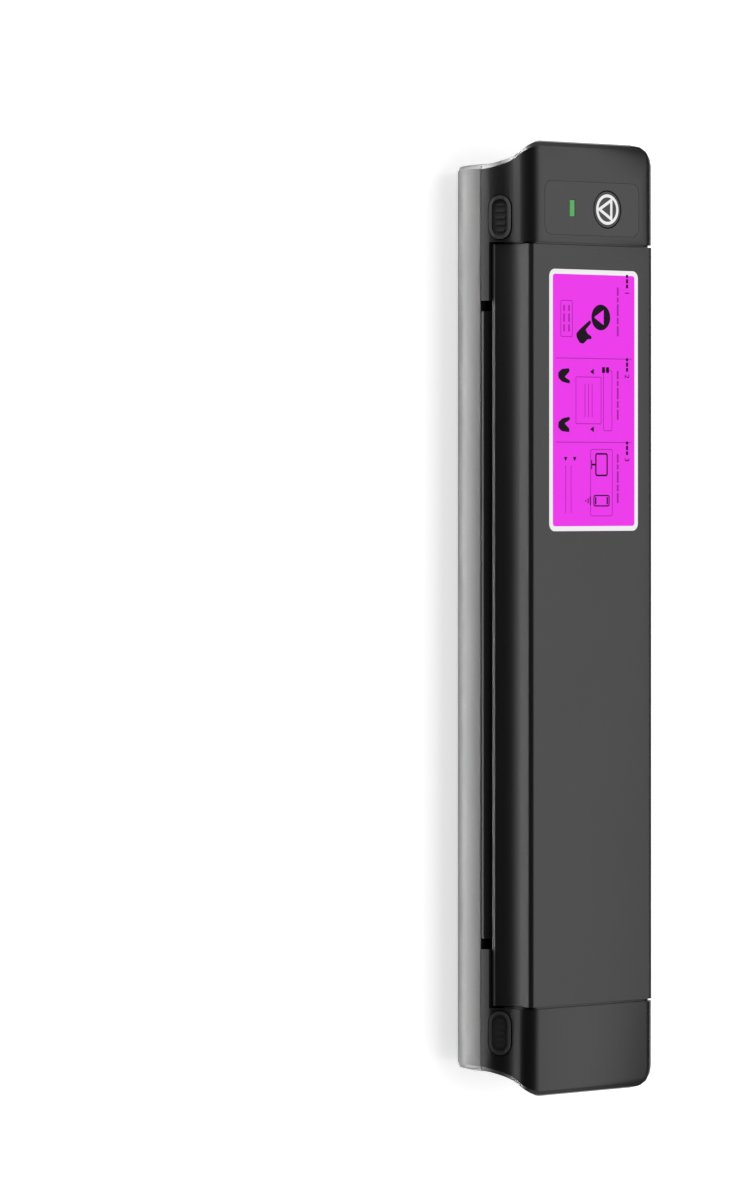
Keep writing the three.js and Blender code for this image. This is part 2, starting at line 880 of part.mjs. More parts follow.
function buttonBoardSpan() {
  return {
    x: [panelMiddle() - buttonBoardLength / 2, panelMiddle() + buttonBoardLength / 2],
    y: [buttonBoardSide - buttonBoardWidth / 2, buttonBoardSide + buttonBoardWidth / 2],
  };
}

function buttonBoardCorners() {
  const { x, y } = buttonBoardSpan();
  return [
    { x: x[0] + postRadius * 1.2, y: y[1] - postRadius * 1.2 },
    { x: x[1] - postRadius * 1.2, y: y[0] + postRadius * 1.2 },
  ];
}

function buttonBoard() {
  const { x, y } = buttonBoardSpan();
  return block(x, y, [buttonBoardTop() - boardThickness, buttonBoardTop()]);
}

function switchBody() {
  const half = switchSize / 2;
  const foot = buttonBoardTop() + seatGap;
  const bodyTop = foot + switchHeight - switchPlungerHeight;
  const body = block([-half, half], [-half, half], [foot, bodyTop]);
  return body.add(rodZ(switchPlungerRadius, 0, 0, [bodyTop, foot + switchHeight], smallSteps));
}

function statusLight() {
  return lightBlock(0, [height - lightDepth, height]);
}

// Top cover: a skin in section, closed by a side wall at each end
function coverOutline(inset, rearFoot, rimFoot) {
  const shape = new THREE.Shape();
  const flareAngle = Math.PI / 4;
  const flareRadius = coverFlare / (1 - Math.cos(flareAngle));
  const rimTop = coverRimHeight + coverRimThickness;
  const flareTop = rimTop + flareRadius * Math.sin(flareAngle);
  const rearEdge = coverRearEdge - inset;
  const frontEdge = Math.max(coverFrontEdge - inset, coverFrontEdge / 3);
  const top = height - inset;
  const front = coverFrontY + inset;
  const rear = coverRearY - inset;
  shape.moveTo(rear, rearFoot);
  shape.lineTo(rear, top - rearEdge);
  shape.absarc(rear - rearEdge, top - rearEdge, rearEdge, 0, Math.PI / 2);
  shape.lineTo(front + frontEdge, top);
  shape.absarc(front + frontEdge, top - frontEdge, frontEdge, Math.PI / 2, Math.PI);
  shape.absarc(coverFrontY - flareRadius, flareTop, flareRadius + inset, 0, -flareAngle, true);
  shape.lineTo(coverFrontY - coverFlare + inset * Math.sin(flareAngle), rimFoot);
  return shape;
}

function topCover() {
  const x = sideSpan(1, -coverHalf, coverHalf);
  const outer = runX(coverOutline(0, coverRearFoot, coverRimHeight), x, arcSteps + 1);
  const below = coverRimHeight - overrun;
  const hollow = runX(coverOutline(coverSkin, below, below), [x[0] + coverSkin, x[1] - coverSkin]);
  const pinWays = [-1, 1].map((side) =>
    rodX(
      hingePinRadius + runningGap,
      sideSpan(side, coverHalf - overrun, coverHalf + overrun),
      hingeY,
      hingeZ,
      smallSteps,
    ),
  );
  const { x: labelX, y: labelY } = labelSpan();
  const recess = runZ(
    roundedRectangle(
      [labelX[0] - seatGap, labelX[1] + seatGap],
      [labelY[0] - seatGap, labelY[1] + seatGap],
      labelCorner + seatGap,
    ),
    [height - sheetThickness - seatGap, height + overrun],
  );
  return without(outer, [hollow, ...pinWays, recess]);
}

function labelSpan() {
  const start = bayShift - bayHalf + labelFromSeam;
  return {
    x: [start, start + labelLength],
    y: [labelSide - labelWidth / 2, labelSide + labelWidth / 2],
  };
}

function instructionLabel() {
  const { x, y } = labelSpan();
  return runZ(roundedRectangle(x, y, labelCorner), [height - sheetThickness, height]);
}

// Hinge pin, from inside the cover's side wall into the boss behind the bulkhead
function hingePin(side) {
  const start = coverHalf - coverSkin - seatGap;
  return rodX(hingePinRadius, sideSpan(side, start, start + hingePinLength), hingeY, hingeZ, smallSteps);
}

// Push latch: a pad on the sloping front, a flange behind the wall and a leg down to its lever
function latchButton(side) {
  const x = bayShift + side * latchOffset;
  const flangeFoot = -latchFlangeDepth - latchFlangeThickness;
  const rimmed = latchPrism(x, 0, flangeFoot, overrun).intersect(casingForm(-latchProud, arcSteps, 1));
  const dish = latchPrism(x, -latchRim, -latchSink, overrun);
  const ribBed = latchPrism(x, -latchRim * 2, flangeFoot, latchRibHeight - latchSink);
  const ribs = Array.from({ length: latchRibs }, (_, index) => {
    const ribX = x + (index - (latchRibs - 1) / 2) * latchRibPitch;
    return ribBed.intersect(block([ribX - latchRibWidth / 2, ribX + latchRibWidth / 2], farY, [0, height]));
  });
  const pad = joined([rimmed.subtract(dish), ...ribs]);
  const flange = latchFlangePrism(side, 0, flangeFoot, -latchFlangeDepth);
  const legRear = leverY - leverHubRadius - latchTravel - runningGap;
  const heelRear = legRear + latchTravel - clearance;
  const legFoot = leverZ - leverFingerLength;
  const backY = latchY - flangeFoot * Math.sin(hollowAngle);
  const backZ = latchZ + flangeFoot * Math.cos(hollowAngle);
  const leg = polygon([
    [backY - latchFlangeThickness * 2, backZ],
    [backY + latchFlangeThickness, backZ + latchFlangeThickness * 2],
    [backY, backZ - latchFlangeThickness],
    [legRear, leverZ + leverHubRadius],
    [legRear, legFoot + latchLegHeel],
    [heelRear, legFoot + latchLegHeel],
    [heelRear, legFoot],
    [legRear - latchLegThickness, legFoot],
    [legRear - latchLegThickness, leverZ + leverHubRadius],
  ]);
  const half = latchLegWidth / 2;
  return joined([pad, flange, runX(leg, [x - half, x + half])]);
}

// Latch lever: a shaft with a finger at the latch's leg and a jaw in front of the platen's bush
function jawSpan() {
  const start = frameHalfLength + frameThickness + jawGap;
  return [start, start + leverThickness];
}

function latchLever(side) {
  const half = leverFingerWidth / 2;
  const shaftStart = frameHalfLength - clearance;
  const shaftEnd = latchOffset + half + clearance + wall + clearance;
  const shaft = rodX(leverShaftRadius, sideSpan(side, shaftStart, shaftEnd), 0, 0, smallSteps);
  const fingerX = sideSpan(side, latchOffset - half, latchOffset + half);
  const hub = rodX(leverHubRadius, fingerX, 0, 0, smallSteps);
  const fingerFront = -leverHubRadius - clearance / 3;
  const finger = polygon([
    [fingerFront, -leverFingerLength],
    [fingerFront + leverFingerThickness, -leverFingerLength],
    [leverHubRadius / 2, -leverHubRadius / 2],
    [fingerFront + leverFingerThickness, 0],
    [fingerFront, -leverFingerLength + latchLegHeel],
  ]);
  const jawX = sideSpan(side, ...jawSpan());
  const jawRear = platenY - bushRadius - jawGap - leverY;
  const jawFoot = platenZ - bushRadius - leverZ;
  const jawTop = platenZ + bushRadius / 2 - leverZ;
  const jaw = polygon([
    [leverHubRadius / 2, -leverHubRadius / 2],
    [jawRear, jawFoot],
    [jawRear, jawTop],
    [jawRear - jawThickness / 2, jawTop],
    [jawRear - jawThickness, jawFoot],
    [-leverHubRadius / 2, leverHubRadius / 2],
  ]);
  const jawHub = rodX(leverHubRadius, jawX, 0, 0, smallSteps);
  return joined([shaft, hub, runX(finger, fingerX), runX(jaw, jawX), jawHub]);
}

// Springs
class Helix extends THREE.Curve {
  constructor(radius, rise, turns) {
    super();
    this.radius = radius;
    this.rise = rise;
    this.turns = turns;
  }

  getPoint(share, target = new THREE.Vector3()) {
    const angle = 2 * Math.PI * this.turns * share;
    return target.set(this.radius * Math.cos(angle), this.radius * Math.sin(angle), this.rise * share);
  }
}

function coil(radius, wire, coilLength, turns) {
  const section = new THREE.Shape();
  const corners = Array.from({ length: wireSides }, (_, index) => (2 * Math.PI * index) / wireSides);
  section.setFromPoints(
    corners.map((angle) => new THREE.Vector2(wire * Math.cos(angle), wire * Math.sin(angle))),
  );
  const geometry = new THREE.ExtrudeGeometry(section, {
    steps: turns * stepsPerTurn,
    bevelEnabled: false,
    extrudePath: new Helix(radius - wire, coilLength - 2 * wire, turns),
  });
  geometry.translate(0, 0, wire);
  return solid(geometry);
}

// Platen: steel shaft, rubber sleeve, bushes and gear, drawn about their own axis
function platenShaft() {
  const left = jawSpan()[1] + jawGap;
  return rodX(platenShaftRadius, [bayShift - left, platenGearX()[1]], 0, 0);
}

function platenRubber() {
  const x = sideSpan(1, -platenLength / 2, platenLength / 2);
  const bore = rodX(platenShaftRadius + runningGap / 2, [x[0] - overrun, x[1] + overrun], 0, 0);
  return rodX(platenRadius, x, 0, 0, fineSteps).subtract(bore);
}

function platenBush(side) {
  const x = sideSpan(side, platenLength / 2 + wall, jawSpan()[1] + clearance);
  const bore = rodX(platenShaftRadius + runningGap, [x[0] - overrun, x[1] + overrun], platenY, platenZ);
  return rodX(bushRadius, x, platenY, platenZ).subtract(bore);
}

function platenGearX() {
  const start = jawSpan()[1] + platenGearGap;
  return sideSpan(1, start, start + platenGearWidth);
}

// A spur gear about its own axis, with a tooth centred on an angle
function gear(teeth, toothAngle, x) {
  const pitch = (gearModule * teeth) / 2;
  const base = pitch * Math.cos(pressureAngle);
  const involute = (angle) => Math.tan(angle) - angle;
  const halfTooth = (radius) => {
    const angle = Math.acos(base / Math.max(radius, base));
    const atPitch = Math.PI / (2 * teeth) - backlash / 2 / pitch;
    return atPitch + involute(pressureAngle) - involute(angle);
  };
  const radii = [
    pitch - dedendumShare * gearModule,
    pitch,
    pitch + addendumShare * gearModule,
  ];
  const points = [];
  for (let tooth = 0; tooth < teeth; tooth += 1) {
    const middle = toothAngle + (2 * Math.PI * tooth) / teeth;
    const rising = radii.map((radius) => [radius, middle - halfTooth(radius)]);
    const falling = radii.map((radius) => [radius, middle + halfTooth(radius)]).reverse();
    [...rising, ...falling].forEach(([radius, angle]) =>
      points.push([radius * Math.cos(angle), radius * Math.sin(angle)]),
    );
  }
  return runX(polygon(points), x);
}

function wheelX() {
  const start = platenGearX()[1] + wheelGap;
  return [start, start + wheelWidth];
}

function platenGear() {
  const x = platenGearX();
  const bore = rodX(platenShaftRadius + runningGap / 2, [x[0] - overrun, x[1] + overrun], 0, 0);
  return gear(platenTeeth, idlerAngle, x).subtract(bore);
}

function idlerGear() {
  const smallAngle = idlerAngle + Math.PI + Math.PI / idlerSmallTeeth;
  const small = gear(idlerSmallTeeth, smallAngle, platenGearX());
  const large = gear(idlerLargeTeeth, motorAngle, wheelX());
  const hubX = [platenGearX()[1] - wheelWidth, wheelX()[0] + wheelWidth / 2];
  const hub = rodX(idlerHubRadius, hubX, 0, 0, smallSteps);
  const boreX = [platenGearX()[0] - overrun, wheelX()[1] + overrun];
  const bore = rodX(idlerPinRadius + runningGap, boreX, 0, 0, smallSteps);
  return joined([small, large, hub]).subtract(bore);
}

function motorPinion() {
  const x = [wheelX()[0] - wheelGap / 2, wheelX()[1] + wheelGap / 2];
  const teeth = gear(pinionTeeth, motorAngle + Math.PI + Math.PI / pinionTeeth, x);
  const shaft = rodX(motorShaftRadius, [x[0], motorPlateX()[1] + wall * 2], 0, 0, smallSteps);
  return teeth.add(shaft);
}

function idlerPin() {
  const start = bayShift + frameHalfLength - clearance;
  return rodX(idlerPinRadius, [start, motorPlateX()[1]], idlerY, idlerZ, smallSteps);
}

// Motor and the plate that carries it
function motorBody() {
  const start = motorPlateX()[1] + seatGap;
  const can = rodX(motorRadius, [start, start + motorLength], motorY, motorZ, fineSteps);
  const end = start + motorLength;
  const boss = rodX(motorBossRadius, [end - wall, end + motorBossHeight], motorY, motorZ);
  const shaftSpan = [start - overrun, start + wall * 2 + clearance];
  const shaftWay = rodX(motorShaftRadius + clearance, shaftSpan, motorY, motorZ, smallSteps);
  return can.add(boss).subtract(shaftWay);
}

function motorPlate() {
  const x = motorPlateX();
  const outline = roundedRectangle(
    [idlerY - motorPlateFrontMargin, motorY + motorRadius + motorPlateRearMargin],
    [floorTop + seatGap, idlerZ + motorPlateTopMargin],
    wall,
  );
  const plate = runX(outline, x);
  const shaftWay = rodX(motorBossRadius, [x[0] - overrun, x[1] + overrun], motorY, motorZ, smallSteps);
  const pinSpan = [x[0] - overrun, x[1] + overrun];
  const pinWay = rodX(idlerPinRadius + runningGap, pinSpan, idlerY, idlerZ, smallSteps);
  return without(plate, [shaftWay, pinWay]);
}

// Platen carrier, under the cover's skin
function platenCarrier() {
  const top = height - coverSkin - seatGap;
  const foot = top - carrierThickness;
  const half = frameHalfLength - seatGap;
  const armStart = platenLength / 2 + wall + seatGap;
  const plateY = [coverFrontY + coverSkin + clearance, carrierRearY];
  const plate = block(sideSpan(1, -half, half), plateY, [foot, top]);
  const arms = [-1, 1].map((side) => {
    const x = sideSpan(side, armStart, armStart + carrierArmThickness);
    const eye = rodX(bushRadius + carrierEyeWall, x, platenY, platenZ);
    const neck = block(x, [platenY - bushRadius, platenY + bushRadius + wall], [platenZ, top]);
    return eye.add(neck);
  });
  const bushWays = [-1, 1].map((side) => {
    const x = sideSpan(side, armStart - overrun, armStart + overrun);
    return rodX(bushRadius + runningGap, x, platenY, platenZ);
  });
  const ribs = deckRibShifts.map((x) =>
    block(
      [x - deckRibThickness / 2, x + deckRibThickness / 2],
      [platenY + platenRadius + wall, carrierRearY],
      [foot - carrierRibHeight, top],
    ),
  );
  return without(joined([plate, ...arms, ...ribs]), bushWays);
}

// Mechanism frame: a floor and two cheeks bent from one sheet
function mechanismFrame() {
  const floorY = [frameFloorFrontY, frameRearY];
  const floorX = sideSpan(1, -frameHalfLength - frameThickness / 2, frameHalfLength + frameThickness / 2);
  const floor = block(floorX, floorY, [frameFloor, frameFloor + frameThickness]);
  const notchHalf = bushRadius + clearance;
  const cheek = polygon([
    [frameFloorFrontY, frameFloor],
    [frameRearY, frameFloor],
    [frameRearY, platenZ - bushRadius],
    [platenY + notchHalf + wall * 2, frameTop],
    [platenY + notchHalf, frameTop],
    [platenY + notchHalf, platenZ],
    [platenY - notchHalf, platenZ],
    [platenY - notchHalf, frameTop],
    [platenY - notchHalf - wall, frameTop],
    [platenY - notchHalf - wall, platenZ - bushRadius],
    [frameFrontY, leverZ + leverHubRadius],
    [frameFrontY, frameShoulder],
  ]);
  const cheeks = [-1, 1].map((side) => {
    const x = sideSpan(side, frameHalfLength, frameHalfLength + frameThickness);
    const through = [x[0] - overrun, x[1] + overrun];
    const seat = rodX(notchHalf, through, platenY, platenZ);
    const leverWay = rodX(leverShaftRadius + runningGap, through, leverY, leverZ, smallSteps);
    const headWay = rodX(headPivotRadius + runningGap, through, headPivotY, headPivotZ, smallSteps);
    const pinWay = rodX(idlerPinRadius + runningGap, through, idlerY, idlerZ, smallSteps);
    return without(runX(cheek, x), [seat, leverWay, headWay, pinWay]);
  });
  const screwWays = frameScrewPlaces().map(({ x, y }) =>
    rodZ(screwRadius + clearance, x, y, [frameFloor - overrun, frameFloor + overrun], smallSteps),
  );
  return without(joined([floor, ...cheeks]), screwWays);
}

// Print head: a finned heat sink that carries the heater board and the driver cover
function heatSink() {
  const foot = sinkTop - sinkThickness;
  const x = sideSpan(1, -headLength / 2, headLength / 2);
  const body = block(x, [headFrontY, headRearY], [foot, sinkTop]);
  const span = headPivotY - headPivotRadius * 3 - headFrontY - finThickness;
  const finBars = Array.from({ length: fins }, (_, index) => {
    const y = headFrontY + finThickness * 4 * index + (span - finThickness * 4 * (fins - 1)) / 2;
    return block(x, [y, y + finThickness], [foot - finHeight, foot + wall / 2]);
  });
  const pivotSpan = [x[0] - overrun, x[1] + overrun];
  const pivotWay = rodX(headPivotRadius + runningGap, pivotSpan, headPivotY, headPivotZ, smallSteps);
  const springWays = headSpringPlaces().map((place) =>
    rodZ(headSpringRadius + clearance, place, platenY, [foot - finHeight - overrun, foot], smallSteps),
  );
  return without(joined([body, ...finBars]), [pivotWay, ...springWays]);
}

function headSpringPlaces() {
  return [-1, 0, 1].map((side) => bayShift + side * headSpringPitch);
}

function headSpring() {
  const foot = frameFloor + frameThickness + seatGap;
  const top = sinkTop - sinkThickness - seatGap;
  return coil(headSpringRadius, headSpringWire, top - foot, headSpringTurns);
}

function heaterBoard() {
  const x = sideSpan(1, -headLength / 2, headLength / 2);
  const y = [headFrontY + wall / 2, headFrontY + wall / 2 + heaterWidth];
  const foot = sinkTop + seatGap;
  const board = block(x, y, [foot, foot + heaterThickness]);
  const glazeSpan = sideSpan(1, -platenLength / 2, platenLength / 2);
  const glazeZ = foot + heaterThickness - wall / 2 + glazeRise;
  const glaze = rodX(wall / 2, glazeSpan, platenY, glazeZ, smallSteps);
  return board.add(glaze.intersect(block(farX, farY, [foot + heaterThickness / 2, height])));
}

function driverCover() {
  const foot = sinkTop + seatGap;
  const front = headFrontY + wall / 2 + heaterWidth + clearance;
  const section = polygon([
    [front, foot],
    [headRearY - wall, foot],
    [headRearY - wall, foot + heaterThickness],
    [headRearY - wall * 2, foot + heaterThickness + driverCoverThickness],
    [front + wall, foot + heaterThickness + driverCoverThickness],
    [front, foot + heaterThickness],
  ]);
  return runX(section, sideSpan(1, -driverCoverLength / 2, driverCoverLength / 2));
}

function headPivotShaft() {
  const half = frameHalfLength + frameThickness;
  return rodX(headPivotRadius, sideSpan(1, -half, half), headPivotY, headPivotZ, smallSteps);
}

// Paper guide in the inlet, and the deck from the head to the outlet
function inletGuide() {
  const lipTop = coverRimHeight - slotHeight;
  const foot = partingHeight + partingGap;
  const rear = headFrontY - clearance;
  const section = polygon([
    [noseY, foot],
    [noseY + wall, foot],
    [rear, guideRearHeight - guideThickness],
    [rear, guideRearHeight],
    [noseY + wall, lipTop],
    [noseY, lipTop],
  ]);
  const x = sideSpan(1, -guideLength / 2, guideLength / 2);
  return runX(section, x).intersect(outerForm);
}

function paperDeck() {
  const front = headRearY + clearance * 2;
  const rear = rearY - wall - clearance;
  const frontTop = sinkTop + heaterThickness;
  const skirt = frontTop - deckThickness * 2;
  const section = polygon([
    [front, skirt],
    [front + deckThickness, skirt],
    [front + deckThickness, frontTop - deckThickness],
    [rear, outletSill - deckThickness],
    [rear, outletSill],
    [front, frontTop],
  ]);
  const half = frameHalfLength - seatGap;
  const deck = runX(section, sideSpan(1, -half, half));
  const rib = polygon([
    [front + wall, frontTop - deckThickness / 2],
    [rear, outletSill - deckThickness / 2],
    [rear, outletSill + deckRibHeight],
    [front + wall, frontTop + deckRibHeight],
  ]);
  const ribs = deckRibShifts.map((x) =>
    runX(rib, [x - deckRibThickness / 2, x + deckRibThickness / 2]),
  );
  return joined([deck, ...ribs]);
}

function paperSensor() {
  const x = [bayShift + sensorShift - sensorSize / 2, bayShift + sensorShift + sensorSize / 2];
  const top = partingHeight + partingGap - seatGap;
  const y = [leverY - sensorSize / 2, leverY + sensorSize / 2];
  return block(x, y, [top - sensorHeight, top]);
}

// Battery, main board and charging socket
function batteryPack() {
  const z = floorTop + cellRadius + clearance;
  const starts = cellStarts();
  const cells = starts.map((start) =>
    rodX(cellRadius, [start, start + cellLength - cellGap], batteryY, z, fineSteps),
  );
  const wrapX = [starts[0] + wall, starts.at(-1) + cellLength - cellGap - wall];
  const wrap = rodX(cellRadius - cellGap / 2, wrapX, batteryY, z, fineSteps);
  return joined([...cells, wrap]);
}

function mainBoard() {
  const x = mainBoardX();
  const step = x[0] + mainBoardWideLength;
  const outline = new THREE.Shape([
    new THREE.Vector2(x[0], mainBoardFrontY),
    new THREE.Vector2(step, mainBoardFrontY),
    new THREE.Vector2(step, mainBoardStepY),
    new THREE.Vector2(x[1], mainBoardStepY),
    new THREE.Vector2(x[1], mainBoardRearY),
    new THREE.Vector2(step, mainBoardRearY),
    new THREE.Vector2(step, mainBoardInnerRearY),
    new THREE.Vector2(x[0], mainBoardInnerRearY),
  ]);
  const top = mainBoardHeight + boardThickness;
  const board = runZ(outline, [mainBoardHeight, top]);
  const chipMiddle = (mainBoardStepY + mainBoardRearY) / 2;
  const chipY = [chipMiddle - chipSize / 2, chipMiddle + chipSize / 2];
  const chips = [step + chipSize, step + chipSize * 3].map((start) =>
    block([start, start + chipSize], chipY, [top - boardThickness / 2, top + chipHeight]),
  );
  return joined([board, ...chips]);
}

function chargingSocket() {
  const start = -halfLength + endDrawIn + clearance;
  const shell = roundedRectangle(
    [socketY - socketWidth / 2, socketY + socketWidth / 2],
    [socketFoot(), socketFoot() + socketHeight],
    socketHeight / 2 - seatGap,
  );
  const bore = roundedRectangle(
    [socketY - socketWidth / 2 + socketWall, socketY + socketWidth / 2 - socketWall],
    [socketFoot() + socketWall, socketFoot() + socketHeight - socketWall],
    socketHeight / 2 - socketWall - seatGap,
  );
  const tongueY = [socketY - socketWidth / 3, socketY + socketWidth / 3];
  const middle = socketFoot() + socketHeight / 2;
  const tongueX = [start + wall / 2, start + socketLength - wall / 2];
  const tongue = block(tongueX, tongueY, [middle - socketWall, middle + socketWall]);
  const hollow = runX(bore, [start - overrun, start + socketLength - wall]);
  return runX(shell, [start, start + socketLength]).subtract(hollow).add(tongue);
}

// Feet and screws, drawn about their own axis from the bottom up
function foot() {
  const top = casingFoot + footRecess - seatGap;
  const bevel = footProud / 2;
  return turned(
    [
      [0, 0],
      [footRadius - bevel, 0],
      [footRadius, bevel],
      [footRadius, top],
      [0, top],
    ],
    roundSteps,
  );
}

function screw(shankLength) {
  const bevel = screwHeadHeight / 4;
  return turned(
    [
      [0, 0],
      [screwHeadRadius - bevel, 0],
      [screwHeadRadius, bevel],
      [screwHeadRadius, screwHeadHeight],
      [screwRadius, screwHeadHeight],
      [screwRadius, screwHeadHeight + shankLength],
      [0, screwHeadHeight + shankLength],
    ],
    smallSteps,
  );
}

function screwTop() {
  return casingFoot + screwSink + screwHeadHeight + screwLength;
}

// Materials: colour, roughness and metalness
function finish(color, roughness, metalness) {
  return new THREE.MeshStandardMaterial({ color, roughness, metalness });
}

const finishes = {
  casing: finish(0x2c2c2e, 0.42, 0),
  cover: finish(0x303032, 0.45, 0),
  inner: finish(0x1c1c1e, 0.6, 0),
  panel: finish(0x38383a, 0.5, 0),
  latch: finish(0x1e1e20, 0.4, 0),
  label: finish(0xee41ee, 0.5, 0),
  light: finish(0x5fb464, 0.3, 0),
  steel: finish(0xb4b6b8, 0.35, 0.9),
  aluminium: finish(0xc8cacc, 0.45, 0.8),
  rubber: finish(0x161616, 0.85, 0),
  gear: finish(0xe6e2d6, 0.5, 0),
  board: finish(0x1f6b3c, 0.5, 0),
  ceramic: finish(0xd9d2c0, 0.35, 0),
  battery: finish(0x2f5fa8, 0.5, 0),
};

// Assembly: one group for each thing that moves
const copier = new THREE.Group();
const base = new THREE.Group();
const cover = new THREE.Group();
copier.add(base, cover);

function place(group, name, made, material, at = [0, 0, 0]) {
  const mesh = new THREE.Mesh(geometryOf(made), material);
  mesh.name = name;
  mesh.position.set(...at);
  group.add(mesh);
  return mesh;
}

function movingGroup(parent, at = [0, 0, 0]) {
  const group = new THREE.Group();
  group.position.set(...at);
  parent.add(group);
  return group;
}

place(base, "lower_casing", lowerCasing(), finishes.casing);
place(base, "upper_casing", upperCasing(), finishes.casing);
place(base, "control_panel", controlPanel(), finishes.panel);
place(base, "status_light", statusLight(), finishes.light);
place(base, "button_board", buttonBoard(), finishes.board);
place(base, "button_switch", switchBody(), finishes.inner, [panelMiddle(), buttonSide, 0]);
place(base, "inlet_guide", inletGuide(), finishes.inner);
place(base, "paper_deck", paperDeck(), finishes.inner);
place(base, "paper_sensor", paperSensor(), finishes.inner);
place(base, "mechanism_frame", mechanismFrame(), finishes.steel);
place(base, "head_pivot_shaft", headPivotShaft(), finishes.steel);
place(base, "idler_pin", idlerPin(), finishes.steel);
place(base, "motor_plate", motorPlate(), finishes.steel);
place(base, "motor", motorBody(), finishes.steel);
place(base, "battery_pack", batteryPack(), finishes.battery);
place(base, "main_board", mainBoard(), finishes.board);
place(base, "charging_socket", chargingSocket(), finishes.steel);

footPlaces().forEach(({ x, y }, index) => {
  place(base, `foot_${index + 1}`, foot(), finishes.rubber, [x, y, 0]);
});
screwPlaces.forEach(({ x, y }, index) => {
  const seat = [x, y, casingFoot + screwSink];
  place(base, `case_screw_${index + 1}`, screw(screwLength), finishes.steel, seat);
});
frameScrewPlaces().forEach(({ x, y }, index) => {
  const drop = frameFloor - seatGap - floorTop - wall;
  const screwMesh = place(base, `frame_screw_${index + 1}`, screw(drop + frameThickness), finishes.steel);
  screwMesh.rotation.x = Math.PI;
  screwMesh.position.set(x, y, frameFloor + frameThickness + seatGap + screwHeadHeight);
});
headSpringPlaces().forEach((x, index) => {
  const springFoot = frameFloor + frameThickness + seatGap;
  place(base, `head_spring_${index + 1}`, headSpring(), finishes.steel, [x, platenY, springFoot]);
});

place(cover, "top_cover", topCover(), finishes.cover);
place(cover, "instruction_label", instructionLabel(), finishes.label);
place(cover, "platen_carrier", platenCarrier(), finishes.inner);

const platen = movingGroup(cover, [0, platenY, platenZ]);
place(platen, "platen_shaft", platenShaft(), finishes.steel);
place(platen, "platen_rubber", platenRubber(), finishes.rubber);
place(platen, "platen_gear", platenGear(), finishes.gear);

const idler = movingGroup(base, [0, idlerY, idlerZ]);
place(idler, "idler_gear", idlerGear(), finishes.gear);

const rotor = movingGroup(base, [0, motorY, motorZ]);
place(rotor, "motor_pinion", motorPinion(), finishes.gear);

const head = movingGroup(base);
place(head, "head_heat_sink", heatSink(), finishes.aluminium);
place(head, "heater_board", heaterBoard(), finishes.ceramic);
place(head, "driver_cover", driverCover(), finishes.inner);

const power = movingGroup(base, [panelMiddle(), buttonSide, 0]);
place(power, "power_button", powerButton(), finishes.panel);

[
  ["left", -1],
  ["right", 1],
].forEach(([name, side]) => {
  place(base, `hinge_pin_${name}`, hingePin(side), finishes.steel);
  place(cover, `platen_bush_${name}`, platenBush(side), finishes.inner);
  const latch = movingGroup(base);
  place(latch, `latch_button_${name}`, latchButton(side), finishes.latch);
  const lever = movingGroup(base, [0, leverY, leverZ]);
  place(lever, `latch_lever_${name}`, latchLever(side), finishes.inner);
  const springStart = bayHalf + bulkheadThickness / 2;
  const springX = sideSpan(side, springStart, springStart + latchSpringWidth)[0];
  const spring = coil(latchSpringRadius, latchSpringWire, latchSpringWidth, latchSpringTurns);
  const springMesh = place(base, `latch_spring_${name}`, spring, finishes.steel, [springX, leverY, leverZ]);
  springMesh.rotation.y = Math.PI / 2;
});

export default copier;
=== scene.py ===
"""Dresses the thermal stencil copier: moulded black casing, printed label, controls and drive.

Metres, in the part's own frame: X along the bar, minus Y to the front, feet on Z 0.
"""
import json
import math

import bmesh
import bpy
from mathutils import Matrix, Vector


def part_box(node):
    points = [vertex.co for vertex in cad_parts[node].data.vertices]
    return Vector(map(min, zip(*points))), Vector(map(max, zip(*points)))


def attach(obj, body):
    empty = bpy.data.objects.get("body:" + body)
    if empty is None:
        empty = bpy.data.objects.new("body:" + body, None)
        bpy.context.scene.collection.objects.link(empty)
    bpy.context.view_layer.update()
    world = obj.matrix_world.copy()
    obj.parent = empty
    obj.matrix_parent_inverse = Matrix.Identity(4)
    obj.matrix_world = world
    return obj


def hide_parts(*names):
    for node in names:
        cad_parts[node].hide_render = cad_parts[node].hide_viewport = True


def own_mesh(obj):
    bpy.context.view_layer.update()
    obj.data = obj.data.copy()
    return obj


MM = 0.001

# The photograph's camera: a long lens, turned so that the bar stands upright in the picture
IMAGE_HEIGHT = 1182
FOCAL_PIXELS = 5930
AXIS_ROW = 486
SENSOR = 36
CAMERA_PLACE = (-0.0429, -1.3242, 1.4554)
CAMERA_RIGHT = (0, 0.7547, 0.656)
CAMERA_UP = (-1, 0, 0)
CAMERA_BACK = (0, -0.656, 0.7547)
NEAREST_SEEN = 0.05
FURTHEST_SEEN = 20

# The room's light, the table, and the place on the bar that the soft boxes are turned to
AMBIENT_LEVEL = 0.45
TABLE_GLOW = 0.55
TABLE_TONE = 0.86
TABLE_HALF_SIDE = 4
BAR_TOP = (0, 0, 0.03)

# The black card that rises before the bar and passes over it
FLAG_RISE = 0.0005
FRONT_FLAG_HALF_LENGTH = 1.6
FRONT_FLAG_START = -0.105
FRONT_FLAG_FOOT = -1.3
FRONT_FLAG_WALL = -1.5
FRONT_FLAG_WALL_FOOT = 0.3
FRONT_FLAG_WALL_TOP = 1.6
FRONT_FLAG_BEND = -0.9
FRONT_FLAG_CEILING = 2.3
FRONT_FLAG_END = 0.32

# The black cards behind the bar and round its rear corners
REAR_FLAG_DISTANCE = 0.85
REAR_FLAG_HALF_LENGTH = 0.45
REAR_FLAG_HEIGHT = 0.66
CORNER_FLAG_REACH = 1.1
CORNER_FLAG_FRONT = 0.05
CORNER_FLAG_HEIGHT = 0.62

# How sharply faces must meet to stay a crease, and what counts as flat or as one point
CREASE_ANGLE = math.radians(32)
FLAT_ANGLE = math.radians(0.4)
DOUBLES = 0.002 * MM

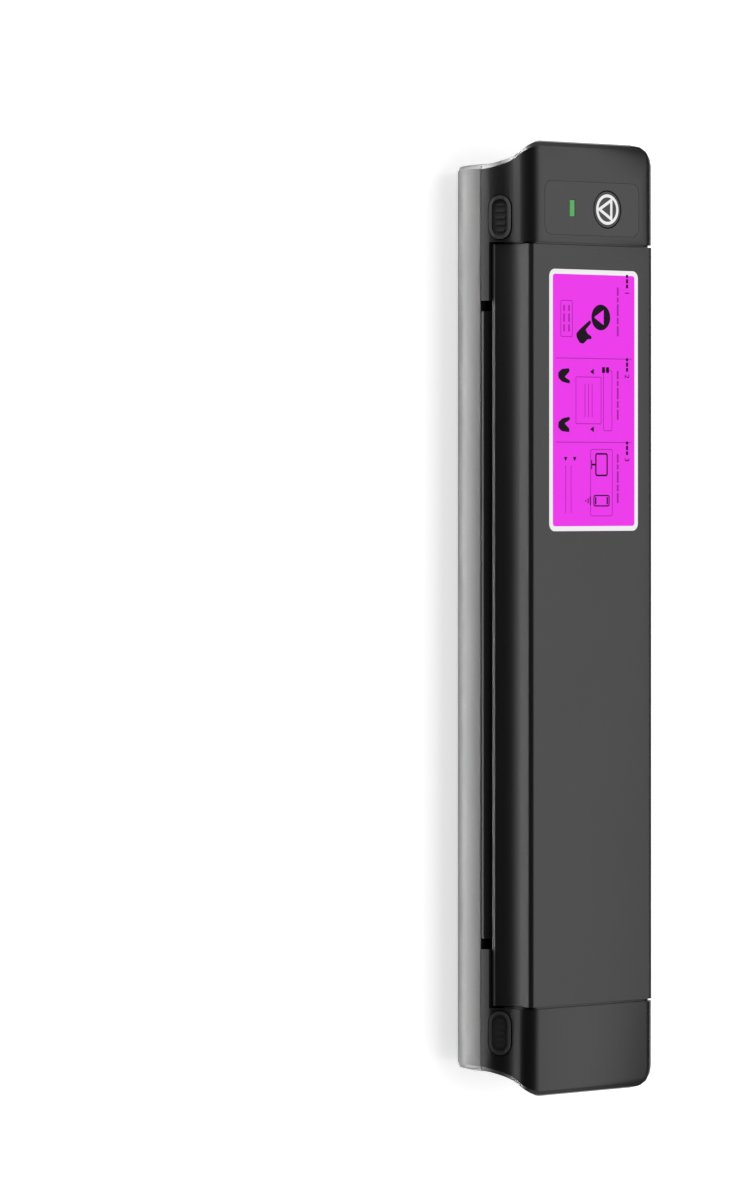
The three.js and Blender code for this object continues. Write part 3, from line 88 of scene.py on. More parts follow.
# The most that a face along the bar leans to its end, and the least that a face of the end does
ALONG_LEAN = 0.08
END_LEAN = 0.3

# How far the edges of the pieces are rounded
FILM_EDGE = 0.04 * MM
FINE_EDGE = 0.06 * MM
BOARD_EDGE = 0.08 * MM
SCREW_EDGE = 0.1 * MM
SHEET_EDGE = 0.12 * MM
KEY_EDGE = 0.15 * MM
SOFT_EDGE = 0.2 * MM
LATCH_EDGE = 0.3 * MM
EDGE_STEPS = 2

# How deep the moulded grain is
CASING_GRAIN = 0.008 * MM
INNER_GRAIN = 0.015 * MM

# The heater's line on its ceramic, and the conductors that cross it
HEATER_LINE = 1.6 * MM
HEATER_BROWN = (0.07, 0.03, 0.015)
CONDUCTOR_GOLD = (0.55, 0.4, 0.16)

# Prints are a thin film of ink over the sheet that carries them
INK_RISE = 0.02 * MM

# The mark on the power key: a ring and a triangle
RING_SIDES = 64
RING_RADIUS = 5.0 * MM
RING_LINE = 1.0 * MM
TRIANGLE_RADIUS = 4.55 * MM
TRIANGLE_LINE = 1.0 * MM

# The label's white rim, its corners, and the lines, dashes and figures on it
LABEL_BORDER = 1.6 * MM
LABEL_CORNER = 2.4 * MM
FIELD_CORNER = 1.0 * MM
THIN_LINE = 0.25 * MM
DIVIDER_LENGTH = 34 * MM
BOLD_DASH = 0.9 * MM
FINE_DASH = 0.8 * MM
SMALL_DASH = 0.7 * MM
DISC_SIDES = 40
FIGURE_HEIGHT = 2 * MM
FIGURE_CAP_SHARE = 0.69
FIGURE_STEPS = 3
POINT_DOWN = -math.pi / 2
POINT_ALONG = 0
POINTING_TURN = math.radians(128)

# Outlines of the hands, as shares of their size
pointing_hand_shares = (
    (-1.0, -0.45),
    (-0.55, -0.95),
    (0.5, -0.95),
    (1.0, -1.35),
    (1.3, -1.1),
    (0.95, -0.4),
    (0.95, 0.3),
    (2.4, 0.4),
    (2.4, 0.85),
    (0.2, 1.0),
    (-0.7, 0.95),
    (-1.0, 0.5),
)
holding_hand_shares = (
    (-0.3, -1.0),
    (0.35, -0.95),
    (0.8, -0.3),
    (1.0, 0.85),
    (0.65, 0.95),
    (0.2, 0.05),
    (-0.45, 0.85),
    (-0.85, 0.8),
    (-0.75, -0.4),
)

# Dashes and the gaps between them, as shares of a line of print
word_shares = (5, 2, 7, 2, 6)
sentence_shares = (5, 1, 3, 1, 7, 1, 4, 1, 6)


def photograph_camera():
    data = bpy.data.cameras.new("photograph_camera")
    data.sensor_width = SENSOR
    data.lens = FOCAL_PIXELS * SENSOR / IMAGE_HEIGHT
    data.shift_y = (AXIS_ROW - IMAGE_HEIGHT / 2) / IMAGE_HEIGHT
    data.clip_start = NEAREST_SEEN
    data.clip_end = FURTHEST_SEEN
    camera = bpy.data.objects.new("photograph_camera", data)
    bpy.context.scene.collection.objects.link(camera)
    turn = Matrix((CAMERA_RIGHT, CAMERA_UP, CAMERA_BACK)).transposed().to_4x4()
    camera.matrix_world = Matrix.Translation(CAMERA_PLACE) @ turn
    bpy.context.scene.camera = camera


# Parts of a material
def new_material(name, colour, roughness, metallic=0.0, specular=0.5):
    material = bpy.data.materials.new(name)
    material.use_nodes = True
    shader = material.node_tree.nodes["Principled BSDF"]
    shader.inputs["Base Color"].default_value = (*colour, 1)
    shader.inputs["Roughness"].default_value = roughness
    shader.inputs["Metallic"].default_value = metallic
    shader.inputs["Specular IOR Level"].default_value = specular
    return material, shader


def piece_coordinates(material, stretch=(1, 1, 1)):
    """The piece's own metres, stretched where a pattern runs along the bar."""
    nodes = material.node_tree.nodes
    coordinate = nodes.new("ShaderNodeTexCoord")
    mapping = nodes.new("ShaderNodeMapping")
    mapping.inputs["Scale"].default_value = stretch
    material.node_tree.links.new(coordinate.outputs["Object"], mapping.inputs["Vector"])
    return mapping.outputs["Vector"]


def object_noise(material, per_metre, detail=2.0, stretch=(1, 1, 1)):
    """A noise in the piece's own metres, with about so many features per metre."""
    noise = material.node_tree.nodes.new("ShaderNodeTexNoise")
    noise.inputs["Scale"].default_value = per_metre
    noise.inputs["Detail"].default_value = detail
    material.node_tree.links.new(piece_coordinates(material, stretch), noise.inputs["Vector"])
    return noise.outputs["Fac"]


def stripes(material, per_metre, direction):
    """Bands across one direction. The wave node draws ten to a metre at a scale of pi."""
    wave = material.node_tree.nodes.new("ShaderNodeTexWave")
    wave.wave_type = "BANDS"
    wave.bands_direction = direction
    wave.inputs["Scale"].default_value = per_metre * math.pi / 10
    material.node_tree.links.new(piece_coordinates(material), wave.inputs["Vector"])
    return wave.outputs["Fac"]


def ranged(material, value, low, high, start=0.0, end=1.0):
    """Turns a value that runs from start to end into one from low to high."""
    node = material.node_tree.nodes.new("ShaderNodeMapRange")
    node.inputs["From Min"].default_value = start
    node.inputs["From Max"].default_value = end
    node.inputs["To Min"].default_value = low
    node.inputs["To Max"].default_value = high
    material.node_tree.links.new(value, node.inputs["Value"])
    return node.outputs["Result"]


def added(material, first, second):
    node = material.node_tree.nodes.new("ShaderNodeMath")
    node.operation = "ADD"
    material.node_tree.links.new(first, node.inputs[0])
    material.node_tree.links.new(second, node.inputs[1])
    return node.outputs[0]


def add_bump(material, shader, value, depth):
    bump = material.node_tree.nodes.new("ShaderNodeBump")
    bump.inputs["Distance"].default_value = depth
    material.node_tree.links.new(value, bump.inputs["Height"])
    material.node_tree.links.new(bump.outputs["Normal"], shader.inputs["Normal"])


def colour_mix(material, value, dark, light):
    mix = material.node_tree.nodes.new("ShaderNodeMix")
    mix.data_type = "RGBA"
    mix.inputs["A"].default_value = (*dark, 1)
    mix.inputs["B"].default_value = (*light, 1)
    material.node_tree.links.new(value, mix.inputs["Factor"])
    return mix


def tinted(material, shader, value, dark, light):
    """Lets the colour drift between two colours."""
    mix = colour_mix(material, value, dark, light)
    material.node_tree.links.new(mix.outputs["Result"], shader.inputs["Base Color"])


def toned(material, shader, value, colour, darkest, lightest):
    """Lets the colour drift between a darker and a lighter share of itself."""
    dark = tuple(channel * darkest for channel in colour)
    light = tuple(channel * lightest for channel in colour)
    tinted(material, shader, value, dark, light)


def drifting_sheen(material, shader, value, roughness, spread):
    """Lets the roughness drift by the spread to both sides of its middle."""
    sheen = ranged(material, value, roughness - spread, roughness + spread)
    material.node_tree.links.new(sheen, shader.inputs["Roughness"])


# Finishes
def moulded_plastic(name, colour, roughness, grain=CASING_GRAIN):
    """Satin moulded plastic: a fine spark-eroded grain and slow drifts of sheen and tone."""
    material, shader = new_material(name, colour, roughness)
    fine = object_noise(material, per_metre=5200, detail=1)
    slow = object_noise(material, per_metre=28)
    drifting_sheen(material, shader, slow, roughness, spread=0.012)
    toned(material, shader, slow, colour, darkest=0.92, lightest=1.08)
    add_bump(material, shader, fine, depth=grain)
    return material


def printed_film(name, colour, roughness, specular=0.08):
    """Printed polyester film: even colour with a very slight orange peel."""
    material, shader = new_material(name, colour, roughness, specular=specular)
    peel = object_noise(material, per_metre=900)
    tone = object_noise(material, per_metre=60)
    toned(material, shader, tone, colour, darkest=0.97, lightest=1.0)
    drifting_sheen(material, shader, peel, roughness, spread=0.04)
    add_bump(material, shader, peel, depth=0.003 * MM)
    return material


def sheet_steel(name, colour, roughness):
    """Rolled zinc-plated sheet: rolling marks along the bar and the faint flakes of the plating."""
    material, shader = new_material(name, colour, roughness, metallic=1.0)
    rolled = object_noise(material, per_metre=900, detail=3, stretch=(0.02, 1, 1))
    flakes = material.node_tree.nodes.new("ShaderNodeTexVoronoi")
    flakes.inputs["Scale"].default_value = 420
    material.node_tree.links.new(piece_coordinates(material), flakes.inputs["Vector"])
    spangle = ranged(material, flakes.outputs["Distance"], low=-0.06, high=0.06)
    marks = ranged(material, rolled, low=roughness - 0.08, high=roughness + 0.08)
    sheen = added(material, marks, spangle)
    material.node_tree.links.new(sheen, shader.inputs["Roughness"])
    toned(material, shader, rolled, colour, darkest=0.86, lightest=1.06)
    add_bump(material, shader, rolled, depth=0.006 * MM)
    return material


def turned_steel(name, colour, roughness):
    """Ground round steel: fine rings round the bar's own direction."""
    material, shader = new_material(name, colour, roughness, metallic=1.0)
    rings = object_noise(material, per_metre=7000, stretch=(1, 0.02, 0.02))
    drifting_sheen(material, shader, rings, roughness, spread=0.07)
    toned(material, shader, rings, colour, darkest=0.82, lightest=1.05)
    add_bump(material, shader, rings, depth=0.003 * MM)
    return material


def extruded_aluminium(name, colour, roughness):
    """Extruded aluminium: long die lines along the bar."""
    material, shader = new_material(name, colour, roughness, metallic=1.0)
    lines = object_noise(material, per_metre=2600, detail=3, stretch=(0.006, 1, 1))
    drifting_sheen(material, shader, lines, roughness, spread=0.1)
    toned(material, shader, lines, colour, darkest=0.85, lightest=1.05)
    add_bump(material, shader, lines, depth=0.006 * MM)
    return material


def ground_rubber(name, colour, roughness):
    """Ground rubber: a matt, slightly dusty surface with the grinder's fine marks."""
    material, shader = new_material(name, colour, roughness, specular=0.3)
    grind = object_noise(material, per_metre=3800, detail=3, stretch=(0.5, 1, 1))
    dust = object_noise(material, per_metre=120, detail=4)
    toned(material, shader, dust, colour, darkest=1.0, lightest=1.7)
    drifting_sheen(material, shader, grind, roughness, spread=0.08)
    add_bump(material, shader, grind, depth=0.02 * MM)
    return material


def moulded_acetal(name, colour, roughness):
    """White acetal: waxy, with faint flow marks."""
    material, shader = new_material(name, colour, roughness)
    flow = object_noise(material, per_metre=350, detail=3)
    toned(material, shader, flow, colour, darkest=0.93, lightest=1.03)
    drifting_sheen(material, shader, flow, roughness, spread=0.055)
    add_bump(material, shader, flow, depth=0.01 * MM)
    return material


def circuit_board(name, colour, roughness):
    """Solder mask over copper: tracks show as a paler relief on both sides of bare strips."""
    material, shader = new_material(name, colour, roughness)
    tracks = material.node_tree.nodes.new("ShaderNodeTexBrick")
    tracks.inputs["Scale"].default_value = 260
    tracks.inputs["Mortar Size"].default_value = 0.06
    tracks.inputs["Brick Width"].default_value = 1.7
    tracks.inputs["Row Height"].default_value = 0.36
    material.node_tree.links.new(piece_coordinates(material), tracks.inputs["Vector"])
    mask = object_noise(material, per_metre=500)
    toned(material, shader, tracks.outputs["Fac"], colour, darkest=1.0, lightest=1.9)
    drifting_sheen(material, shader, mask, roughness, spread=0.06)
    add_bump(material, shader, tracks.outputs["Fac"], depth=0.03 * MM)
    return material


def distance_across(material, middle):
    """How far a point of the piece lies from a line along the bar."""
    nodes = material.node_tree.nodes
    links = material.node_tree.links
    split = nodes.new("ShaderNodeSeparateXYZ")
    links.new(piece_coordinates(material), split.inputs["Vector"])
    offset = nodes.new("ShaderNodeMath")
    offset.operation = "SUBTRACT"
    offset.inputs[1].default_value = middle
    links.new(split.outputs["Y"], offset.inputs[0])
    distance = nodes.new("ShaderNodeMath")
    distance.operation = "ABSOLUTE"
    links.new(offset.outputs[0], distance.inputs[0])
    return distance.outputs[0]


def glazed_ceramic(name, colour, roughness, line_middle, line_width):
    """Cream glazed ceramic with the brown heater line along it and fine conductors across it."""
    material, shader = new_material(name, colour, roughness, specular=0.6)
    links = material.node_tree.links
    fade_start = line_width * 0.4
    fade_end = line_width * 0.6
    across = distance_across(material, line_middle)
    line = ranged(material, across, low=1.0, high=0.0, start=fade_start, end=fade_end)
    bands = stripes(material, per_metre=620, direction="X")
    conductors = ranged(material, bands, low=0.0, high=0.35, start=0.5, end=0.7)
    gold = colour_mix(material, conductors, colour, CONDUCTOR_GOLD)
    brown = colour_mix(material, line, colour, HEATER_BROWN)
    links.new(gold.outputs["Result"], brown.inputs["A"])
    links.new(brown.outputs["Result"], shader.inputs["Base Color"])
    glaze = object_noise(material, per_metre=260)
    drifting_sheen(material, shader, glaze, roughness, spread=0.06)
    add_bump(material, shader, conductors, depth=0.01 * MM)
    return material


def lit_lens(name, dark, light, glow, glow_strength, roughness):
    """A clouded plastic lens with a faint light of its own."""
    material, shader = new_material(name, light, roughness)
    shader.inputs["Emission Color"].default_value = (*glow, 1)
    shader.inputs["Emission Strength"].default_value = glow_strength
    cloud = object_noise(material, per_metre=1500)
    tinted(material, shader, cloud, dark, light)
    drifting_sheen(material, shader, cloud, roughness, spread=0.065)
    return material


# Forms
def finished_mesh(name, form, material):
    mesh = bpy.data.meshes.new(name)
    form.to_mesh(mesh)
    form.free()
    mesh.materials.append(material)
    return mesh


def placed_piece(name, mesh, body):
    piece = bpy.data.objects.new(name, mesh)
    bpy.context.scene.collection.objects.link(piece)
    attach(piece, body)
    return piece


def at_end(edge):
    """Whether an edge parts a face that runs along the bar from one that leans towards its end."""
    leans = sorted(abs(face.normal.x) for face in edge.link_faces)
    return leans[0] < ALONG_LEAN and leans[-1] > END_LEAN


def soft_shading(form, crisp_ends):
    for face in form.faces:
        face.smooth = True
    for edge in form.edges:
        soft = edge.calc_face_angle(0) < CREASE_ANGLE
        edge.smooth = soft and not (crisp_ends and at_end(edge))


def finished_copy(node, material, rounding=0.0, sunk_top=0.0, crisp_ends=False):
    """The CAD node's own form with its doubles merged, soft shading and softened edges.

    A top that carries a print is sunk by the print's height.
    """
    mesh = NODES[node].data.copy()
    mesh.name = node + "_finished"
    form = bmesh.new()
    form.from_mesh(mesh)
    bmesh.ops.remove_doubles(form, verts=form.verts, dist=DOUBLES)
    bmesh.ops.dissolve_limit(
        form,
        angle_limit=FLAT_ANGLE,
        use_dissolve_boundaries=False,
        verts=form.verts,
        edges=form.edges,
    )
    if sunk_top > 0:
        top = max(vertex.co.z for vertex in form.verts)
        rim = [vertex for vertex in form.verts if vertex.co.z > top - DOUBLES]
        bmesh.ops.translate(form, verts=rim, vec=(0, 0, -sunk_top))
    soft_shading(form, crisp_ends)
    form.to_mesh(mesh)
    form.free()
    mesh.materials.clear()
    mesh.materials.append(material)
    piece = placed_piece(mesh.name, mesh, BODY_OF[node])
    if rounding > 0:
        edges = piece.modifiers.new("edge_rounding", "BEVEL")
        edges.width = rounding
        edges.segments = EDGE_STEPS
        edges.limit_method = "ANGLE"
        edges.angle_limit = CREASE_ANGLE
        edges.harden_normals = True
    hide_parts(node)
    return piece


# Flat shapes for the prints, drawn at zero
def thickened(form, bottom, top):
    """Raises the flat shapes into solid sheets between two heights."""
    bmesh.ops.translate(form, verts=form.verts, vec=(0, 0, bottom))
    raised = bmesh.ops.extrude_face_region(form, geom=form.faces[:])
    upper = [item for item in raised["geom"] if isinstance(item, bmesh.types.BMVert)]
    bmesh.ops.translate(form, verts=upper, vec=(0, 0, top - bottom))
    bmesh.ops.recalc_face_normals(form, faces=form.faces[:])


def bar(form, x, y, width, height):
    place = Matrix.Translation((x, y, 0))
    stretch = Matrix.Diagonal((width, height, 1, 1))
    bmesh.ops.create_grid(form, x_segments=1, y_segments=1, size=0.5, matrix=place @ stretch)


def disc(form, x, y, radius):
    place = Matrix.Translation((x, y, 0))
    bmesh.ops.create_circle(form, cap_ends=True, segments=DISC_SIDES, radius=radius, matrix=place)


def ring(form, x, y, radius, line):
    """A flat ring, the first shape of its form."""
    place = Matrix.Translation((x, y, 0))
    for rim_radius in (radius, radius - line):
        bmesh.ops.create_circle(form, segments=RING_SIDES, radius=rim_radius, matrix=place)
    bmesh.ops.bridge_loops(form, edges=form.edges[:])


def shape(form, points, softness=0.0, segments=3):
    """A filled outline with its corners rounded by the given softness."""
    made = [form.verts.new((x, y, 0)) for x, y in points]
    face = form.faces.new(made)
    if softness > 0:
        rounded = bmesh.ops.bevel(
            form,
            geom=made,
            offset=softness,
            offset_type="OFFSET",
            segments=segments,
            profile=0.5,
            affect="VERTICES",
            material=-1,
        )
        face = rounded["verts"][0].link_faces[0]
    face.normal_update()
    return face


def hollow(form, face, line):
    """Leaves only a line along the face's rim."""
    bmesh.ops.inset_individual(form, faces=[face], thickness=line, use_even_offset=True)
    bmesh.ops.delete(form, geom=[face], context="FACES")


def box_points(low, high):
    return [(low[0], low[1]), (high[0], low[1]), (high[0], high[1]), (low[0], high[1])]


def frame_line(form, x, y, width, height, softness, line=THIN_LINE):
    """The outline of a box with soft corners."""
    low = (x - width / 2, y - height / 2)
    high = (x + width / 2, y + height / 2)
    hollow(form, shape(form, box_points(low, high), softness), line)


def triangle_points(x, y, radius, turn):
    points = []
    for corner in range(3):
        angle = turn + corner * math.tau / 3
        points.append((x + radius * math.cos(angle), y + radius * math.sin(angle)))
    return points


def outline_points(shares, x, y, size, turn=0.0, mirrored=False):
    """An outline, given as shares of its size, placed and turned."""
    points = []
    for along, across in shares:
        if mirrored:
            along = -along
        points.append(
            (
                x + size * (along * math.cos(turn) - across * math.sin(turn)),
                y + size * (along * math.sin(turn) + across * math.cos(turn)),
            )
        )
    if mirrored:
        points.reverse()
    return points


def figure(form, text, x, y, height):
    """A plain figure, its foot on y, centred on x."""
    data = bpy.data.curves.new("figure", "FONT")
    data.body = text
    data.size = height / FIGURE_CAP_SHARE
    data.align_x = "CENTER"
    data.resolution_u = FIGURE_STEPS
    holder = bpy.data.objects.new("figure", data)
    bpy.context.scene.collection.objects.link(holder)
    bpy.context.view_layer.update()
    mesh = bpy.data.meshes.new_from_object(holder)
    mesh.transform(Matrix.Translation((x, y, 0)))
    form.from_mesh(mesh)
    bpy.data.objects.remove(holder)
    bpy.data.curves.remove(data)
    bpy.data.meshes.remove(mesh)


def dashes(form, x, y, length, height, shares):
    """A broken line that stands for a line of print: dashes and gaps in turn."""
    start = x
    step = length / sum(shares)
    for index, share in enumerate(shares):
        if index % 2 == 0:
            bar(form, start + share * step / 2, y, share * step, height)
        start += share * step


def printed_piece(name, form, finish, body):
    return placed_piece(name, finished_mesh(name, form, finish), body)


# The camera first, then the CAD model that carries everything
photograph_camera()
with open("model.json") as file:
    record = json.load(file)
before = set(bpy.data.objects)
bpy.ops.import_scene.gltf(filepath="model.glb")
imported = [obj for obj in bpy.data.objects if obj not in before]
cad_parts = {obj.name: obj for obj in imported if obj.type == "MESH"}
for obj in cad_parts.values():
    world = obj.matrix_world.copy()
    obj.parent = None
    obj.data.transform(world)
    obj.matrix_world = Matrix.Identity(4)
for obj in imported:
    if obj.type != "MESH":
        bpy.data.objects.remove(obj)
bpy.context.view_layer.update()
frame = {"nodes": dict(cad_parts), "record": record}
NODES = frame["nodes"]
BODY_OF = {}
for body_name, members in frame["record"]["behaviour"]["bodies"].items():
    for member in members:
        BODY_OF[member] = body_name

# The heater's line lies under the platen's middle
platen_low, platen_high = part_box("platen_rubber")
platen_middle = (platen_low.y + platen_high.y) / 2

# The copier's finishes: a colour and a roughness each
casing_black = moulded_plastic("casing_black", (0.005, 0.005, 0.0054), 0.33)
cover_black = moulded_plastic("cover_black", (0.007, 0.007, 0.0074), 0.35)
key_grey = moulded_plastic("key_grey", (0.011, 0.011, 0.0115), 0.34)
latch_black = moulded_plastic("latch_black", (0.014, 0.014, 0.0145), 0.5)
inner_black = moulded_plastic("inner_black", (0.012, 0.012, 0.013), 0.55, INNER_GRAIN)
panel_film = printed_film("panel_film", (0.011, 0.011, 0.0115), 0.34, specular=0.5)
battery_sleeve = printed_film("battery_sleeve", (0.02, 0.085, 0.32), 0.32, specular=0.5)
white_film = printed_film("white_film", (0.98, 0.95, 0.98), 0.5)
magenta_film = printed_film("magenta_film", (0.93, 0.045, 0.92), 0.5)
black_ink = printed_film("black_ink", (0.008, 0.002, 0.01), 0.5)
plum_ink = printed_film("plum_ink", (0.4, 0.02, 0.42), 0.5)
white_ink = printed_film("white_ink", (0.93, 0.93, 0.93), 0.45)
light_green = lit_lens(
    "light_green",
    dark=(0.03, 0.23, 0.045),
    light=(0.055, 0.3, 0.07),
    glow=(0.1, 0.75, 0.14),
    glow_strength=0.12,
    roughness=0.315,
)
plated_sheet = sheet_steel("plated_sheet", (0.56, 0.57, 0.59), 0.34)
ground_steel = turned_steel("ground_steel", (0.6, 0.61, 0.62), 0.22)
blackened_steel = turned_steel("blackened_steel", (0.09, 0.09, 0.095), 0.34)
spring_steel = turned_steel("spring_steel", (0.5, 0.51, 0.53), 0.28)
drawn_aluminium = extruded_aluminium("drawn_aluminium", (0.7, 0.71, 0.73), 0.32)
platen_black = ground_rubber("platen_black", (0.011, 0.011, 0.012), 0.62)
foot_black = ground_rubber("foot_black", (0.014, 0.014, 0.014), 0.78)
gear_white = moulded_acetal("gear_white", (0.74, 0.71, 0.62), 0.385)
board_green = circuit_board("board_green", (0.012, 0.1, 0.035), 0.32)
heater_cream = glazed_ceramic("heater_cream", (0.66, 0.62, 0.5), 0.26, platen_middle, HEATER_LINE)

# The CAD pieces, each in its finish
for name in ("lower_casing", "upper_casing"):
    finished_copy(name, casing_black, crisp_ends=True)
finished_copy("top_cover", cover_black)
finished_copy("control_panel", panel_film, FILM_EDGE)
finished_copy("power_button", key_grey, KEY_EDGE, sunk_top=INK_RISE)
finished_copy("status_light", light_green, KEY_EDGE)
for side in ("left", "right"):
    finished_copy(f"latch_button_{side}", latch_black, LATCH_EDGE)
    finished_copy(f"latch_lever_{side}", inner_black, KEY_EDGE)
    finished_copy(f"latch_spring_{side}", spring_steel)
    finished_copy(f"hinge_pin_{side}", ground_steel, SHEET_EDGE)
    finished_copy(f"platen_bush_{side}", inner_black, KEY_EDGE)
for name in ("inlet_guide", "paper_deck", "platen_carrier", "driver_cover", "paper_sensor"):
    finished_copy(name, inner_black, SHEET_EDGE)
for name in ("mechanism_frame", "motor_plate", "motor", "charging_socket"):
    finished_copy(name, plated_sheet, SHEET_EDGE)
for name in ("head_pivot_shaft", "idler_pin", "platen_shaft"):
    finished_copy(name, ground_steel, SHEET_EDGE)
for number in (1, 2, 3, 4):
    finished_copy(f"foot_{number}", foot_black, KEY_EDGE)
    finished_copy(f"case_screw_{number}", blackened_steel, SCREW_EDGE)
for number in (1, 2):
    finished_copy(f"frame_screw_{number}", ground_steel, SCREW_EDGE)
for number in (1, 2, 3):
    head_spring = finished_copy(f"head_spring_{number}", spring_steel)
    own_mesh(head_spring)
for name in ("idler_gear", "motor_pinion", "platen_gear"):
    finished_copy(name, gear_white, FINE_EDGE)
for name in ("main_board", "button_board"):
    finished_copy(name, board_green, BOARD_EDGE)
finished_copy("button_switch", inner_black, SHEET_EDGE)
finished_copy("head_heat_sink", drawn_aluminium, SCREW_EDGE)
finished_copy("heater_board", heater_cream, FINE_EDGE)
finished_copy("platen_rubber", platen_black, SOFT_EDGE)
finished_copy("battery_pack", battery_sleeve, SOFT_EDGE)

# The label lies in the place of its CAD node: white sheet, magenta field, prints and overprint
label_low, label_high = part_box("instruction_label")
FIELD_LOW = (label_low.x + LABEL_BORDER, label_low.y + LABEL_BORDER)
FIELD_HIGH = (label_high.x - LABEL_BORDER, label_high.y - LABEL_BORDER)
PANEL_LENGTH = (FIELD_HIGH[0] - FIELD_LOW[0]) / 3
LABEL_MIDDLE = (label_low.y + label_high.y) / 2
OVERPRINT_TOP = label_high.z
PRINT_TOP = OVERPRINT_TOP - INK_RISE
PRINT_FOOT = PRINT_TOP - INK_RISE
FIELD_FOOT = PRINT_FOOT - INK_RISE


def panel_middle(number):
    return FIELD_LOW[0] + PANEL_LENGTH * (number - 0.5)


def panel_heading(black, faint, number):
    """A short run of dashes and the panel's figure, with a finer line of dashes under them."""
    word_start = panel_middle(number) - 14 * MM
    word_line = LABEL_MIDDLE + 14.9 * MM
    figure_middle = word_start + 6 * MM
    figure_foot = word_line - 1 * MM
    sentence_start = word_start + 4.2 * MM
    sentence_line = word_line - 4.2 * MM
    sentence_length = 16 * MM
    dashes(black, word_start, word_line, length=4.4 * MM, height=BOLD_DASH, shares=word_shares)
    figure(black, str(number), figure_middle, figure_foot, FIGURE_HEIGHT)
    dashes(faint, sentence_start, sentence_line, sentence_length, FINE_DASH, sentence_shares)


def switch_on_panel(black, faint, overprint):
    """The first panel: a finger on the key, and a box with two lines of print."""
    middle = panel_middle(1)
    key_x = middle + 0.2 * MM
    key_y = LABEL_MIDDLE + 3.1 * MM
    mark_y = key_y - 0.2 * MM
    hand_x = middle + 6.3 * MM
    hand_y = LABEL_MIDDLE - 5.1 * MM
    box_x = middle + 0.8 * MM
    box_y = LABEL_MIDDLE - 12.2 * MM
    row_start = middle - 3.6 * MM
    disc(black, key_x, key_y, radius=4.2 * MM)
    mark = triangle_points(key_x, mark_y, radius=2.9 * MM, turn=POINT_DOWN)
    shape(overprint, mark, softness=0.3 * MM)
    hand = outline_points(pointing_hand_shares, hand_x, hand_y, size=2.4 * MM, turn=POINTING_TURN)
    shape(black, hand, softness=0.35 * MM)
    frame_line(faint, box_x, box_y, width=12 * MM, height=5.4 * MM, softness=0.6 * MM)
    for side in (-1, 1):
        row_y = box_y + side * 1.1 * MM
        dashes(faint, row_start, row_y, length=8.6 * MM, height=SMALL_DASH, shares=word_shares)


def paper_panel(black, faint):
    """The middle panel: two hands feed a sheet into the machine."""
    middle = panel_middle(2)
    sheet_y = LABEL_MIDDLE - 2.4 * MM
    machine_y = sheet_y + 8.6 * MM
    arrow_y = LABEL_MIDDLE - 0.6 * MM
    hand_y = LABEL_MIDDLE - 13.2 * MM
    mark_x = middle - 10 * MM
    mark_y = LABEL_MIDDLE + 5.2 * MM
    frame_line(faint, middle, sheet_y, width=15.5 * MM, height=11.5 * MM, softness=0.4 * MM)
    frame_line(faint, middle, machine_y, width=20 * MM, height=4 * MM, softness=0.8 * MM)
    for row in (-1, 0, 1):
        bar(faint, middle, sheet_y + row * 1.6 * MM, width=11 * MM, height=THIN_LINE)
    for side in (-1, 1):
        arrow_x = middle + side * 9.4 * MM
        shape(black, triangle_points(arrow_x, arrow_y, radius=1.1 * MM, turn=POINT_DOWN))
        hand_x = middle + side * 8.1 * MM
        mirrored = side > 0
        hand = outline_points(holding_hand_shares, hand_x, hand_y, size=2.7 * MM, mirrored=mirrored)
        shape(black, hand, softness=0.3 * MM)
    for side in (-1, 1):
        bar(black, mark_x, mark_y + side * 0.9 * MM, width=1.9 * MM, height=1.3 * MM)


def screen(form, x, y):
    """A screen on its stand."""
    stand_y = y - 3.5 * MM
    stand_foot_y = y - 4.4 * MM
    frame_line(form, x, y, width=7.6 * MM, height=5.6 * MM, softness=0.8 * MM, line=0.55 * MM)
    bar(form, x, stand_y, width=0.6 * MM, height=1.4 * MM)
    bar(form, x, stand_foot_y, width=3 * MM, height=0.4 * MM)


def telephone(form, x, y):
    """A pocket telephone, and under it three waves, each shorter than the last."""
    frame_line(form, x, y, width=3.8 * MM, height=7.2 * MM, softness=0.7 * MM, line=0.4 * MM)
    for side in (-1, 1):
        bar(form, x, y + side * 2.6 * MM, width=2.4 * MM, height=0.6 * MM)
    for wave in (0, 1, 2):
        wave_y = y - (5 + wave) * MM
        wave_length = (2.8 - wave * 1.1) * MM
        bar(form, x, wave_y, wave_length, height=0.4 * MM)


def devices_panel(black, faint):
    """The last panel: a screen and a pocket telephone send the drawing."""
    middle = panel_middle(3)
    screen_x = middle - 6.4 * MM
    telephone_x = middle + 5.4 * MM
    device_y = LABEL_MIDDLE + 3.4 * MM
    frame_x = middle - 0.5 * MM
    row_x = middle + 1.6 * MM
    arrow_x = middle - 8.4 * MM
    screen(black, screen_x, device_y)
    telephone(black, telephone_x, device_y)
    for drop in (10.2 * MM, 12.6 * MM):
        bar(faint, row_x, LABEL_MIDDLE - drop, width=15.5 * MM, height=THIN_LINE)
    for drop in (8.6 * MM, 12.6 * MM):
        arrow = triangle_points(arrow_x, LABEL_MIDDLE - drop, radius=0.9 * MM, turn=POINT_ALONG)
        shape(black, arrow)
    frame_line(faint, frame_x, device_y, width=22 * MM, height=10 * MM, softness=0.8 * MM)


